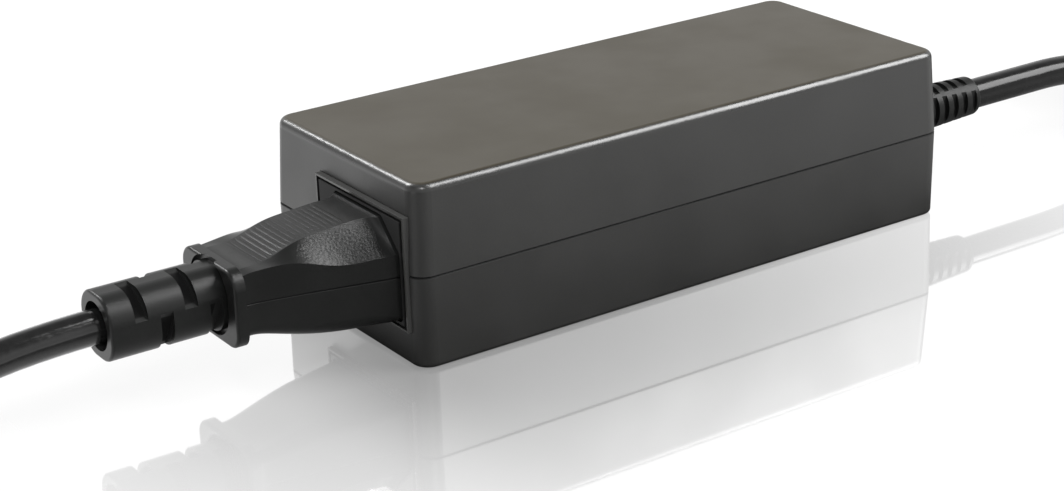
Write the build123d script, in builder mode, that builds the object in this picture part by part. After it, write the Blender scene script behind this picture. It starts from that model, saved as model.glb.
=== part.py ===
"""Laptop power adapter with its lead on a C13 connector and its fixed output cord.

Frame: millimetres, +Z up. The origin is the centre of the case's underside. X runs along the case, from
the mains inlet at -X to the output cord at +X. A piece is modelled where it sits in the finished adapter.
"""
import os
from math import atan2, cos, pi, radians, sin, sqrt, tan

from build123d import *

os.makedirs("parts", exist_ok=True)

# ---- case ------------------------------------------------------------------------------------------------
case_length = 110.0
case_width = 46.0
case_height = 30.5
seam_height = 15.5
wall = 2.0
top_draft = 0.7  # how far the top cover leans in from the seam to its top
bottom_draft = 0.15
corner_radius = 3.0
inner_corner = 1.0
top_edge_radius = 1.3
bottom_edge_radius = 0.8
seam_chamfer = 0.2
lip_height = 1.5
lip_clearance = 0.1
fit = 0.15  # gap of one piece set into another
snug = 0.02  # gap of one piece that fills another
through = 1.0  # how far a cutting shape passes the face it cuts

# ---- mains inlet (C14) -----------------------------------------------------------------------------------
inlet_side_gap = 0.8  # between the bezel and the case's side wall
inlet_z = 15.5
bezel_width = 26.8
bezel_height = 19.2
bezel_stand = 0.6  # the bezel stands proud of the end wall by this much
rim = 0.35  # each of the bezel's two raised rims
rim_height = 0.5
recess_width = 24.0
recess_height = 16.8
recess_chamfer = 5.0
recess_depth = 17.0
inlet_back = 2.0
inlet_flange = 1.6
inlet_flange_thickness = 1.5
recess_corner = 1.0
pin_width = 2.0
pin_height = 4.0
pin_length = 15.0
pin_pitch = 14.0
earth_rise = 4.0
tag_length = 6.0
tag_thickness = 0.8

# ---- mating connector (C13) ------------------------------------------------------------------------------
mate_gap = 0.3
nose_wall = 1.6
nose_length = 16.4
nose_out = 1.0
contact_wall = 0.4
contact_gap = 0.25
contact_length = 14.0
contact_setback = 1.2
crest = 5.5  # half the width of the grip's ribbed top
flange_out = 25.5
flange_thickness = 2.0
flange_width = 17.4
flange_height = 12.9
flange_corner = 3.0
flange_drop = 0.6  # the flange's centre lies below the inlet's axis by this much
flange_groove = 0.8  # a groove in the flange, round the strain relief's root
flange_groove_depth = 0.9
relief_width = 10.6
relief_corner = 4.2
relief_drop = 0.2  # the strain relief's axis lies below the inlet's
relief_end = 46.3
relief_slot = 2.1
relief_pitch = 4.1
relief_slots = 4
relief_first = 5.1  # from the strain relief's end to its first slot's middle
relief_core = 3.75  # from the axis to the flat floor of a slot
relief_bore = 3.9
relief_bore_depth = 2.5
relief_turn = 122.0  # which way the first slot faces, from +Y towards +Z

# ---- output cord's strain relief -------------------------------------------------------------------------
outlet_y = -12.2
outlet_rise = 0.3
boot_root = 4.3
boot_tip = 3.6
boot_length = 17.1
boot_head = 6.0
boot_head_thickness = 2.0
boot_slot = 1.2
boot_pitch = 2.45
boot_rings = 6
boot_core = 3.05  # from the axis to the flat floor of a slot
boot_tip_setback = 1.7
boot_tip_radius = 0.5
boot_bore_depth = 1.0

# ---- cords -----------------------------------------------------------------------------------------------
mains_cord = 5.5
output_cord = 5.5
tie_thickness = 0.8
tie_width = 9.0
mains_hank_length = 110.0
mains_hank_turns = 3
mains_hank_x = -197.0
mains_hank_y = 2.0
mains_waist = 6.0
output_hank_length = 92.0
output_hank_turns = 5
output_hank_x = 168.5
output_hank_y = -5.0
output_waist = 5.6
fold_share = 3.0  # a hank's end fold over the cord's diameter

# ---- mains plug ------------------------------------------------------------------------------------------
plug_width = 25.0
plug_height = 24.0
plug_body = 28.0
plug_relief = 14.0
plug_blade_width = 6.3
plug_blade_thickness = 1.5
plug_blade_length = 17.0
plug_blade_pitch = 12.7
plug_earth_diameter = 4.8
plug_earth_length = 19.0
plug_earth_drop = 11.9
plug_blade_drop = 2.5

# ---- output plug -----------------------------------------------------------------------------------------
barrel_diameter = 5.5
barrel_bore = 4.4
barrel_length = 9.5
centre_diameter = 2.9
centre_bore = 2.1
jack_grip = 10.6
jack_grip_length = 17.0
jack_relief = 9.0
jack_collar = 8.0
jack_collar_length = 2.0
jack_edge = 1.0

# ---- inside the case -------------------------------------------------------------------------------------
spreader = 0.5
sheet = 0.3
board_thickness = 1.6
board_clear = 1.4  # under the board, for the ends of the leads
board_margin = 1.5
board_far_gap = 2.5
lead_diameter = 0.8
lead_hole = 1.2
lead_below = 1.0
boss_diameter = 5.0
boss_clear = 0.5
end_boss = 5.5  # from the board's inlet end to its first boss
boss_layout = [(-29.0, -17.0), (-14.0, 8.0), (3.0, 17.0), (14.5, -17.3), (39.5, 9.0)]
wire_diameter = 1.8
output_wire = 1.5
layout_low = -27.75  # the parts' places are laid out from here to layout_high, on a board for layout_width
layout_high = 50.53
layout_width = 46.0

end_x = case_length / 2
side_y = case_width / 2
floor_z = wall
ceiling_z = case_height - wall
sheet_z = floor_z + spreader
board_z = sheet_z + sheet + board_clear
board_top = board_z + board_thickness
mouth_x = -end_x - bezel_stand
inlet_y = bezel_width / 2 + inlet_side_gap + wall - side_y
outlet_z = seam_height + outlet_rise
inlet_wall_x = -end_x + wall + top_draft + fit
recess_x = mouth_x + recess_depth
inlet_back_x = recess_x + inlet_back
tag_end_x = inlet_back_x + tag_length
boot_head_x = end_x - wall - fit - top_draft * boot_head / (ceiling_z - seam_height)
boot_inner_x = boot_head_x - boot_head_thickness
boot_end_x = end_x + boot_length
board_low_x = -end_x + wall + board_margin
board_high_x = end_x - wall - board_far_gap
board_half_y = side_y - wall - board_margin
notch_x = inlet_back_x + 0.5 * tag_length
notch_y = inlet_y + bezel_width / 2 + inlet_flange
fuse_y = (notch_y + board_half_y) / 2

run_low = tag_end_x + 1.5 * wire_diameter + fit
stretch = (boot_inner_x - run_low) / (layout_high - layout_low)
spread = case_width / layout_width
part_scale = min(stretch, spread)


def place(x, y):
    """Where a place in the parts' layout falls on this case's board."""
    return run_low + (x - layout_low) * stretch, y * spread


def sized(*lengths):
    """Lengths of the board's parts, smaller or larger with the case."""
    scaled = [length * part_scale for length in lengths]
    return scaled if len(scaled) > 1 else scaled[0]


boss_radius = sized(boss_diameter / 2)
boss_places = [(board_low_x + end_boss, fuse_y)] + [place(x, y) for x, y in boss_layout]


def across(x, y=inlet_y, z=inlet_z):
    """A sketch plane across the length: its X is the case's Y, its Y is up, and it looks along +X."""
    return Plane(origin=(x, y, z), x_dir=(0, 1, 0), z_dir=(1, 0, 0))


def keep(piece, name):
    piece.part.label = name
    export_step(piece.part, f"parts/{name}.step")
    print(f"{name}: {len(piece.part.solids())} solids, {piece.part.volume:.1f} mm3")


# ==== covers ==============================================================================================
def drafted(sections, radius):
    """A rounded block through sections given as height and inset from the case's outline."""
    with BuildPart() as block:
        for height, inset in sections:
            with BuildSketch(Plane.XY.offset(height)):
                RectangleRounded(case_length - 2 * inset, case_width - 2 * inset, radius)
        loft(ruled=True)
    return block.part


chamfer_inset = seam_chamfer + lip_clearance / 2
top_outside = [
    (seam_height, chamfer_inset),
    (seam_height + seam_chamfer, 0),
    (case_height, top_draft),
]
bottom_outside = [
    (0, bottom_draft),
    (seam_height - seam_chamfer, 0),
    (seam_height, chamfer_inset),
]


with BuildPart() as end_openings:
    with BuildSketch(across(-end_x - through)):
        Rectangle(bezel_width + 2 * fit, bezel_height + 2 * fit)
    extrude(amount=through + wall + top_draft + lip_height)
    with BuildSketch(across(end_x + through, outlet_y, outlet_z)):
        Circle(boot_root + fit)
    extrude(amount=-(through + wall + top_draft + lip_height))


with BuildPart() as top_cover:
    add(drafted(top_outside, corner_radius))
    fillet(top_cover.faces().sort_by(Axis.Z)[-1].edges(), top_edge_radius)
    add(
        drafted([(seam_height, wall), (ceiling_z, wall + top_draft)], inner_corner),
        mode=Mode.SUBTRACT,
    )
    with BuildSketch(Plane.XY.offset(seam_height)):
        outside = wall / 2 + lip_clearance
        RectangleRounded(case_length - 2 * outside, case_width - 2 * outside, inner_corner)
        RectangleRounded(
            case_length - 2 * wall, case_width - 2 * wall, inner_corner, mode=Mode.SUBTRACT
        )
    extrude(amount=-(lip_height - lip_clearance))
    add(end_openings.part, mode=Mode.SUBTRACT)

with BuildPart() as bottom_cover:
    add(drafted(bottom_outside, corner_radius))
    fillet(bottom_cover.faces().sort_by(Axis.Z)[0].edges(), bottom_edge_radius)
    add(
        drafted([(floor_z, wall + bottom_draft), (seam_height, wall)], inner_corner),
        mode=Mode.SUBTRACT,
    )
    with BuildSketch(Plane.XY.offset(seam_height)):
        RectangleRounded(case_length - wall, case_width - wall, inner_corner)
    extrude(amount=-lip_height, mode=Mode.SUBTRACT)
    add(end_openings.part, mode=Mode.SUBTRACT)
    with BuildSketch(Plane.XY.offset(floor_z)):
        with Locations(*boss_places):
            Circle(boss_radius)
    extrude(amount=board_z - floor_z)


# ==== mains inlet =========================================================================================
def shield_outline(shrink):
    """The inlet's recess outline, inset by some gap: a box with its two upper corners cut at 45 degrees."""
    w = recess_width / 2 - shrink
    h = recess_height / 2 - shrink
    cut = recess_chamfer - shrink * (2 - sqrt(2))
    outline = Polygon(
        (-w, -h), (w, -h), (w, h - cut), (w - cut, h), (cut - w, h), (-w, h - cut), align=None
    )
    fillet(outline.vertices().group_by(Axis.Y)[0], recess_corner)


pin_places = [
    (inlet_y - pin_pitch / 2, inlet_z - earth_rise / 2),
    (inlet_y + pin_pitch / 2, inlet_z - earth_rise / 2),
]
earth_place = (inlet_y, inlet_z + earth_rise / 2)

with BuildPart() as ac_inlet_housing:
    with BuildSketch(across(mouth_x)):
        Rectangle(bezel_width, bezel_height)
    extrude(amount=inlet_back_x - mouth_x)
    with BuildSketch(across(inlet_wall_x)):
        Rectangle(bezel_width - inner_corner, bezel_height + 2 * inlet_flange)
    extrude(amount=inlet_flange_thickness)
    with BuildSketch(across(mouth_x)):
        Rectangle(bezel_width - 2 * rim, bezel_height - 2 * rim)
        Rectangle(recess_width + 2 * rim, recess_height + 2 * rim, mode=Mode.SUBTRACT)
    extrude(amount=rim_height, mode=Mode.SUBTRACT)
    with BuildSketch(across(mouth_x)):
        shield_outline(0)
    extrude(amount=recess_depth, mode=Mode.SUBTRACT)
    for y, z in pin_places + [earth_place]:
        with BuildSketch(across(recess_x, y, z)):
            Rectangle(pin_width, pin_height)
        extrude(amount=inlet_back, mode=Mode.SUBTRACT)


def inlet_pin(y, z):
    """One flat pin: a blade with a bevelled tip, through the inlet's back, with a solder tag behind it."""
    with BuildPart() as pin:
        with BuildSketch(across(recess_x - pin_length, y, z)):
            Rectangle(pin_width, pin_height)
        extrude(amount=pin_length + inlet_back)
        chamfer(pin.faces().sort_by(Axis.X)[0].edges(), pin_width / 4)
        with BuildSketch(across(inlet_back_x, y, z)):
            Rectangle(tag_thickness, pin_height)
        extrude(amount=tag_length)
    return pin.part


with BuildPart() as ac_inlet_pins:
    for y, z in pin_places:
        add(inlet_pin(y, z))

with BuildPart() as ac_inlet_earth_pin:
    add(inlet_pin(*earth_place))

# ==== mating connector ====================================================================================
nose_front_x = mouth_x + nose_length
nose_back_x = -end_x - nose_out
contact_width = pin_width + 2 * (contact_gap + contact_wall)
contact_height = pin_height + 2 * (contact_gap + contact_wall)
insert_length = contact_setback + contact_length + nose_out
flange_x = -end_x - flange_out
relief_x = flange_x - flange_thickness
relief_end_x = -end_x - relief_end
flange_z = inlet_z - flange_drop
cord_z = inlet_z - relief_drop

# The grip's cross sections: distance out from the case, half width, height of the ribbed top over the
# axis, height of the shoulder where the side facet ends, depth of the underside and its corner radius.
grip_sections = [
    (flange_out, 7.7, 4.9, 4.8, 5.9, 1.8),
    (21.0, 8.0, 5.3, 5.2, 6.3, 2.0),
    (18.5, 8.4, 6.0, 5.2, 7.0, 2.3),
    (15.0, 9.0, 7.1, 4.6, 7.8, 2.5),
    (11.0, 9.8, 7.6, 3.5, 8.3, 2.5),
    (7.0, 10.6, 7.9, 3.1, 8.4, 2.3),
    (3.5, 11.3, 8.0, 3.2, 8.3, 1.8),
]


def grip_outline(half_width, top, shoulder, bottom, corner):
    """A flat-topped outline with a slanting facet each side and rounded lower corners."""
    outline = Polygon(
        (-half_width, -bottom),
        (half_width, -bottom),
        (half_width, shoulder),
        (crest, top),
        (-crest, top),
        (-half_width, shoulder),
        align=None,
    )
    fillet(outline.vertices().group_by(Axis.Y)[0], corner)


def flats(reach, core, middle):
    """Two facing cuts that leave a flat this far from the axis, at an angle and at its opposite."""
    for turn in (radians(middle), radians(middle) + pi):
        corners = [(core, -reach), (reach, -reach), (reach, reach), (core, reach)]
        Polygon(
            *[(x * cos(turn) - y * sin(turn), x * sin(turn) + y * cos(turn)) for x, y in corners],
            align=None,
        )


with BuildPart() as connector_body:
    for out, half_width, top, shoulder, bottom, corner in grip_sections:
        with BuildSketch(across(-end_x - out)):
            grip_outline(half_width, top, shoulder, bottom, corner)
    with BuildSketch(across(nose_back_x)):
        shield_outline(mate_gap)
    loft()
    with BuildSketch(across(nose_back_x)):
        shield_outline(mate_gap)
    extrude(amount=nose_front_x - nose_back_x)
    with BuildSketch(across(flange_x, inlet_y, flange_z)):
        RectangleRounded(flange_width, flange_height, flange_corner)
    extrude(amount=-flange_thickness)
    fillet(connector_body.faces().sort_by(Axis.X)[0].outer_wire().edges(), flange_thickness / 4)
    with BuildSketch(across(relief_x, inlet_y, cord_z)):
        groove_width = relief_width + 2 * flange_groove
        RectangleRounded(groove_width, groove_width, relief_corner + flange_groove)
    extrude(amount=flange_groove_depth, mode=Mode.SUBTRACT)
    with BuildSketch(across(relief_x + flange_groove_depth, inlet_y, cord_z)):
        RectangleRounded(relief_width, relief_width, relief_corner)
    extrude(amount=relief_end_x - relief_x - flange_groove_depth)
    fillet(connector_body.faces().sort_by(Axis.X)[0].edges(), (relief_width / 2 - relief_bore) / 3)
    with BuildSketch(across(relief_end_x, inlet_y, cord_z)):
        Circle(relief_bore)
    extrude(amount=relief_bore_depth, mode=Mode.SUBTRACT)
    for number in range(relief_slots):
        slot_x = relief_end_x + relief_first + relief_pitch * number
        with BuildSketch(across(slot_x, inlet_y, cord_z)):
            flats(relief_width, relief_core, relief_turn - 90 * (number % 2))
        extrude(amount=relief_slot / 2, both=True, mode=Mode.SUBTRACT)
    with BuildSketch(across(nose_front_x)):
        shield_outline(mate_gap + nose_wall)
    extrude(amount=-insert_length, mode=Mode.SUBTRACT)

with BuildPart() as connector_insert:
    with BuildSketch(across(nose_front_x)):
        shield_outline(mate_gap + nose_wall)
    extrude(amount=-insert_length)
    for y, z in pin_places + [earth_place]:
        with BuildSketch(across(nose_front_x, y, z)):
            Rectangle(pin_width + 2 * contact_gap, pin_height + 2 * contact_gap)
        extrude(amount=-contact_setback, mode=Mode.SUBTRACT)
        with BuildSketch(across(nose_front_x - contact_setback, y, z)):
            Rectangle(contact_width, contact_height)
        extrude(amount=-contact_length, mode=Mode.SUBTRACT)

with BuildPart() as connector_contacts:
    for y, z in pin_places + [earth_place]:
        with BuildSketch(across(nose_front_x - contact_setback, y, z)):
            Rectangle(contact_width, contact_height)
            Rectangle(
                pin_width + 2 * contact_gap, pin_height + 2 * contact_gap, mode=Mode.SUBTRACT
            )
            with Locations((contact_width / 2, 0)):
                Rectangle(contact_width / 2, contact_gap, mode=Mode.SUBTRACT)
        extrude(amount=-contact_length)

# ==== output cord's strain relief =========================================================================
with BuildPart() as dc_strain_relief:
    with BuildSketch(Plane.XZ.offset(-outlet_y)):
        with BuildLine():
            Polyline(
                (boot_inner_x, outlet_z),
                (boot_inner_x, outlet_z + boot_head),
                (boot_head_x, outlet_z + boot_head),
                (boot_head_x, outlet_z + boot_root),
                (end_x, outlet_z + boot_root),
                (boot_end_x, outlet_z + boot_tip),
                (boot_end_x, outlet_z),
                close=True,
            )
        make_face()
    revolve(axis=Axis((0, outlet_y, outlet_z), (1, 0, 0)))
    fillet(dc_strain_relief.faces().sort_by(Axis.X)[-1].edges(), boot_tip_radius)
    with BuildSketch(across(boot_end_x, outlet_y, outlet_z)):
        Circle(output_cord / 2)
    extrude(amount=-boot_bore_depth, mode=Mode.SUBTRACT)
    for number in range(boot_rings):
        for step in (0, 1):
            slot_x = boot_end_x - boot_tip_setback - boot_pitch * (number + step / 2)
            with BuildSketch(across(slot_x, outlet_y, outlet_z)):
                flats(2 * boot_root, boot_core, 90 * step)
            extrude(amount=boot_slot / 2, both=True, mode=Mode.SUBTRACT)


# ==== cords ===============================================================================================
def corner_radii(points):
    """The arc at each corner of a cord's route: as large as its two runs allow."""
    radii = []
    for before, here, after in zip(points, points[1:], points[2:]):
        come, leave = Vector(*here) - Vector(*before), Vector(*after) - Vector(*here)
        turn = radians(come.get_angle(leave))
        radii.append(0.45 * min(come.length, leave.length) / tan(turn / 2))
    return radii


def cord_tube(name, points, diameter):
    """A plain cord: straight runs joined by tangent arcs."""
    radii = corner_radii(points)
    with BuildPart() as tube:
        with BuildLine() as route:
            FilletPolyline(*points, radius=radii)
        with BuildSketch(Plane(origin=points[0], z_dir=route.wire() % 0)):
            Circle(diameter / 2)
        sweep(path=route.wire())
    length = route.wire().length
    spare = tube.part.volume / (pi * diameter**2 / 4 * length)
    print(f"{name}: {length:.1f} mm, volume ratio {spare:.4f}, radii {[round(r) for r in radii]}")
    return tube


def hank_size(length, cord, waist):
    """A hank's end radius, end centre, and the radius and centre of the hollow at its waist."""
    end = fold_share * cord + cord / 2
    centre = length / 2 - end
    hollow = (centre**2 + waist**2 - end**2) / (2 * (end - waist))
    return end, centre, hollow, waist + hollow


def turn_length(length, cord, waist):
    """The length of cord in one turn of a hank, along the cord's own centre line."""
    end, centre, hollow, side = hank_size(length, cord, waist)
    slope = atan2(side, centre)
    ends = 2 * (2 * pi - 2 * slope) * (end - cord / 2)
    return ends + 4 * (pi / 2 - slope) * (hollow + cord / 2)


def hank_tie(x, y, height, waist):
    """A flat band round a hank's waist."""
    with BuildPart() as tie:
        with BuildSketch(across(x, y, height / 2 + tie_thickness / 2)):
            RectangleRounded(2 * (waist + tie_thickness), height + tie_thickness, 2 * tie_thickness)
            RectangleRounded(2 * waist, height - tie_thickness, tie_thickness, mode=Mode.SUBTRACT)
        extrude(amount=tie_width / 2, both=True)
    return tie


def cord_hank(x, y, length, cord, turns, waist, tie):
    """A tied hank: a slab with round ends and a drawn-in waist, with room for its band."""
    end, centre, hollow, side = hank_size(length, cord, waist)
    meet = end / (end + hollow)
    with BuildPart() as hank:
        with BuildSketch(Plane(origin=(x, y, 0))):
            with Locations((-centre, 0), (centre, 0)):
                Circle(end)
            Rectangle(2 * centre * (1 - meet), 2 * side * meet)
            with Locations((0, -side), (0, side)):
                Circle(hollow, mode=Mode.SUBTRACT)
        extrude(amount=turns * cord + tie_thickness)
        add(tie.part, mode=Mode.SUBTRACT)
    return hank


mains_hank_height = mains_hank_turns * mains_cord + tie_thickness
output_hank_height = output_hank_turns * output_cord + tie_thickness
mains_plug_z = mains_hank_height + plug_height / 2
jack_z = output_hank_height + jack_grip / 2

ac_cord_route = [
    (relief_end_x + relief_bore_depth, inlet_y, cord_z),
    (-118, inlet_y, cord_z),
    (-133, -8.8, 10.8),
    (-148, -12.0, 4.9),
    (-163, -14.4, 2.8),
]
ac_tail_route = [
    (-163, -14.4, mains_hank_height + mains_cord / 2),
    (-176, -13.6, 21.5),
    (-188, -9.5, 25.6),
    (-200, -4.0, mains_plug_z),
    (-212, -4.0, mains_plug_z),
]
dc_cord_route = [
    (boot_end_x - boot_bore_depth, outlet_y, outlet_z),
    (98, outlet_y, outlet_z),
    (115, -14.0, 13.2),
    (128, -17.8, 6.9),
    (140, -21.4, 2.9),
]
dc_tail_route = [
    (138, -21.1, output_hank_height + output_cord / 2),
    (149, -20.2, 31.5),
    (158.5, -16.6, 32.7),
    (167.5, -11.6, jack_z),
    (176.5, -11.6, jack_z),
]

ac_cord = cord_tube("ac_cord", ac_cord_route, mains_cord)
ac_cord_tail = cord_tube("ac_cord_tail", ac_tail_route, mains_cord)
ac_cord_tie = hank_tie(mains_hank_x, mains_hank_y, mains_hank_height, mains_waist)
ac_cord_hank = cord_hank(
    mains_hank_x,
    mains_hank_y,
    mains_hank_length,
    mains_cord,
    mains_hank_turns,
    mains_waist,
    ac_cord_tie,
)
dc_cord = cord_tube("dc_cord", dc_cord_route, output_cord)
dc_cord_tail = cord_tube("dc_cord_tail", dc_tail_route, output_cord)
dc_cord_tie = hank_tie(output_hank_x, output_hank_y, output_hank_height, output_waist)
dc_cord_hank = cord_hank(
    output_hank_x,
    output_hank_y,
    output_hank_length,
    output_cord,
    output_hank_turns,
    output_waist,
    dc_cord_tie,
)
print("mains turn", round(turn_length(mains_hank_length, mains_cord, mains_waist), 1))
print("output turn", round(turn_length(output_hank_length, output_cord, output_waist), 1))

# ==== mains plug ==========================================================================================
plug_x, plug_y, _ = ac_tail_route[-1]
plug_body_x = plug_x - plug_relief
plug_face_x = plug_body_x - plug_body
blade_z = mains_plug_z + plug_earth_drop / 2 - plug_blade_drop
earth_z = blade_z - plug_earth_drop

with BuildPart() as mains_plug_body:
    with BuildSketch(across(plug_body_x, plug_y, mains_plug_z)):
        RectangleRounded(0.6 * plug_width, 0.6 * plug_height, 0.2 * plug_height)
    with BuildSketch(across(plug_body_x - plug_body / 2, plug_y, mains_plug_z)):
        RectangleRounded(0.96 * plug_width, 0.96 * plug_height, 0.2 * plug_height)
    with BuildSketch(across(plug_face_x, plug_y, mains_plug_z)):
        RectangleRounded(plug_width, plug_height, 0.2 * plug_height)
    loft(ruled=True)
    with BuildSketch(across(plug_body_x, plug_y, mains_plug_z)):
        Circle(mains_cord)
    with BuildSketch(across(plug_x, plug_y, mains_plug_z)):
        Circle(0.7 * mains_cord)
    loft()
    for number in range(3):
        with BuildSketch(across(plug_x - plug_relief * (number + 1) / 4, plug_y, mains_plug_z)):
            flats(plug_width, 0.6 * mains_cord, 90 * (number % 2))
        extrude(amount=relief_slot / 2, both=True, mode=Mode.SUBTRACT)

with BuildPart() as mains_plug_blades:
    for side in (-1, 1):
        blade_y = plug_y + side * plug_blade_pitch / 2
        with BuildSketch(across(plug_face_x, blade_y, blade_z)):
            Rectangle(plug_blade_thickness, plug_blade_width)
        extrude(amount=-plug_blade_length)
        with BuildSketch(Plane.XZ.offset(-blade_y)):
            with Locations((plug_face_x - 0.7 * plug_blade_length, blade_z)):
                Circle(plug_blade_width / 4)
        extrude(amount=plug_blade_thickness, both=True, mode=Mode.SUBTRACT)
    fillet(
        mains_plug_blades.faces().group_by(Axis.X)[0].edges().filter_by(Axis.Y),
        plug_blade_width / 4,
    )

with BuildPart() as mains_plug_earth_pin:
    with BuildSketch(across(plug_face_x, plug_y, earth_z)):
        Circle(plug_earth_diameter / 2)
    extrude(amount=-plug_earth_length)
    fillet(
        mains_plug_earth_pin.faces().sort_by(Axis.X)[0].edges(), plug_earth_diameter / 2 - lip_clearance
    )

# ==== output plug =========================================================================================
jack_x, jack_y, _ = dc_tail_route[-1]
jack_grip_x = jack_x + jack_relief
jack_collar_x = jack_grip_x + jack_grip_length
barrel_x = jack_collar_x + jack_collar_length

with BuildPart() as dc_plug_grip:
    with BuildSketch(across(jack_x, jack_y, jack_z)):
        Circle(0.6 * output_cord)
    with BuildSketch(across(jack_grip_x, jack_y, jack_z)):
        Circle(0.4 * jack_grip)
    loft()
    with BuildSketch(across(jack_grip_x, jack_y, jack_z)):
        Circle(jack_grip / 2)
    extrude(amount=jack_grip_length)
    fillet(dc_plug_grip.faces().sort_by(Axis.X)[-1].edges(), jack_edge)
    with BuildSketch(across(jack_collar_x, jack_y, jack_z)):
        Circle(jack_collar / 2)
    extrude(amount=jack_collar_length)


def sleeve(outer, bore, length):
    """One of the output plug's coaxial sleeves, seated on its collar."""
    with BuildPart() as tube:
        with BuildSketch(across(barrel_x, jack_y, jack_z)):
            Circle(outer / 2)
            Circle(bore / 2, mode=Mode.SUBTRACT)
        extrude(amount=length)
    return tube


dc_plug_barrel = sleeve(barrel_diameter, barrel_bore, barrel_length)
dc_plug_insulator = sleeve(barrel_bore - snug, centre_diameter + snug, barrel_length - rim)
dc_plug_centre = sleeve(centre_diameter, centre_bore, barrel_length - 2 * rim)

# ==== the board and what stands on it =====================================================================
leads = []  # where a round lead goes through the board


def legs(points, top):
    """Round leads from a component down through the board."""
    leads.extend(points)
    with BuildPart() as pins:
        with BuildSketch(Plane.XY.offset(board_z - lead_below)):
            with Locations(*points):
                Circle(lead_diameter / 2)
        extrude(amount=top - board_z + lead_below)
    return pins.part


fuse_lift = 3.4
fuse_length, fuse_cap, fuse_radius, fuse_glass = 18.0, 5.0, 2.6, 2.3
fuse_x = board_low_x + board_margin + fuse_length / 2
fuse_z = board_top + fuse_lift
clip_sheet = 0.5

with BuildPart() as fuse:
    with BuildSketch(across(fuse_x, fuse_y, fuse_z)):
        Circle(fuse_glass)
    extrude(amount=fuse_length / 2, both=True)
    for side in (-1, 1):
        with BuildSketch(across(fuse_x + side * fuse_length / 2, fuse_y, fuse_z)):
            Circle(fuse_radius)
        extrude(amount=-side * fuse_cap)

with BuildPart() as fuse_clips:
    for side in (-1, 1):
        clip_x = fuse_x + side * (fuse_length - fuse_cap) / 2
        with BuildSketch(across(clip_x, fuse_y, (board_top + fuse_z) / 2 + clip_sheet)):
            Rectangle(2 * (fuse_radius + clip_sheet), fuse_lift + 2 * clip_sheet)
            with Locations((0, clip_sheet)):
                Rectangle(2 * fuse_radius, fuse_lift + 2 * clip_sheet, mode=Mode.SUBTRACT)
        extrude(amount=0.4 * fuse_cap, both=True)


def disc(x, y, radius, thickness, lift, pitch):
    """A standing disc, flat side towards the inlet, on two leads."""
    with BuildPart() as part:
        with BuildSketch(across(x, y, board_top + lift + radius)):
            Circle(radius)
        extrude(amount=thickness / 2, both=True)
        fillet(part.edges(), thickness / 4)
        add(legs([(x, y - pitch / 2), (x, y + pitch / 2)], board_top + lift + radius / 2))
    return part


disc_lift = 1.5
disc_pitch = sized(5.0)
inrush_thermistor = disc(*place(-22.5, 6.2), *sized(4.0, 4.4), disc_lift, disc_pitch)
surge_varistor = disc(*place(-22.5, 15.0), *sized(4.0, 3.6), disc_lift, disc_pitch)
y_capacitor = disc(*place(33.5, 9.0), *sized(3.2, 3.4), disc_lift, disc_pitch)


def upright(x, y, width, depth, height, radius, lead_steps):
    """A box-shaped component standing on the board, its leads at steps from its middle."""
    with BuildPart() as part:
        with BuildSketch(Plane(origin=(x, y, board_top))):
            RectangleRounded(width, depth, radius)
        extrude(amount=height)
        fillet(part.faces().sort_by(Axis.Z)[-1].edges(), radius / 2)
        add(legs([(x + step_x, y + step_y) for step_x, step_y in lead_steps], board_top))
    return part


film_height, film_corner, film_reach = 14.0, 0.8, sized(7.5)
bridge_height, bridge_corner, bridge_pitch = 11.5, 0.6, sized(3.8)
x_capacitor = upright(
    *place(-21.5, -8.5),
    *sized(8.0, 17.5),
    film_height,
    film_corner,
    [(0, -film_reach), (0, film_reach)],
)
bridge_rectifier = upright(
    *place(-8.5, 15.0),
    *sized(14.5, 3.6),
    bridge_height,
    bridge_corner,
    [(bridge_pitch * (n - 1.5), 0) for n in range(4)],
)

choke_x, choke_y = place(-8.8, -9.0)
choke_radius, choke_hole, winding = sized(6.2, 3.4, 1.0)
choke_height = 6.0


def ring(plane, radius, hole, height):
    """A toroidal core, centred on a plane."""
    with BuildPart() as core:
        with BuildSketch(plane):
            Circle(radius)
            Circle(hole, mode=Mode.SUBTRACT)
        extrude(amount=height / 2, both=True)
    return core


def ring_winding(plane, radius, hole, height, wire, spans):
    """Wire wound round a toroidal core, as a closed jacket over each stated span of its turn."""
    with BuildPart() as jacket:
        for start, span in spans:
            with BuildSketch(turned(plane, start)):
                with Locations(((radius + hole) / 2, 0)):
                    Rectangle(radius - hole + 2 * wire, height + 2 * wire)
                    Rectangle(radius - hole, height, mode=Mode.SUBTRACT)
            revolve(axis=Axis(plane.origin, plane.z_dir), revolution_arc=span)
    return jacket


def turned(plane, angle):
    """The radial plane of a toroid at an angle round its axis."""
    out = plane.x_dir * cos(radians(angle)) + plane.y_dir * sin(radians(angle))
    return Plane(origin=plane.origin, x_dir=out, z_dir=out.cross(plane.z_dir))


choke_plane = Plane(origin=(choke_x, choke_y, board_top + winding + choke_height / 2))
common_mode_core = ring(choke_plane, choke_radius, choke_hole, choke_height)
common_mode_winding = ring_winding(
    choke_plane, choke_radius, choke_hole, choke_height, winding, [(20, 140), (200, 140)]
)

bulk_x, _ = place(7.6, 0)
bulk_radius, bulk_length, bulk_foot = sized(8.0, 26.0, 2.0)
bulk_bead, bulk_bead_width, bulk_bead_depth = 2.0, 1.2, 0.5
bulk_z = board_top + bulk_radius

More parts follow.
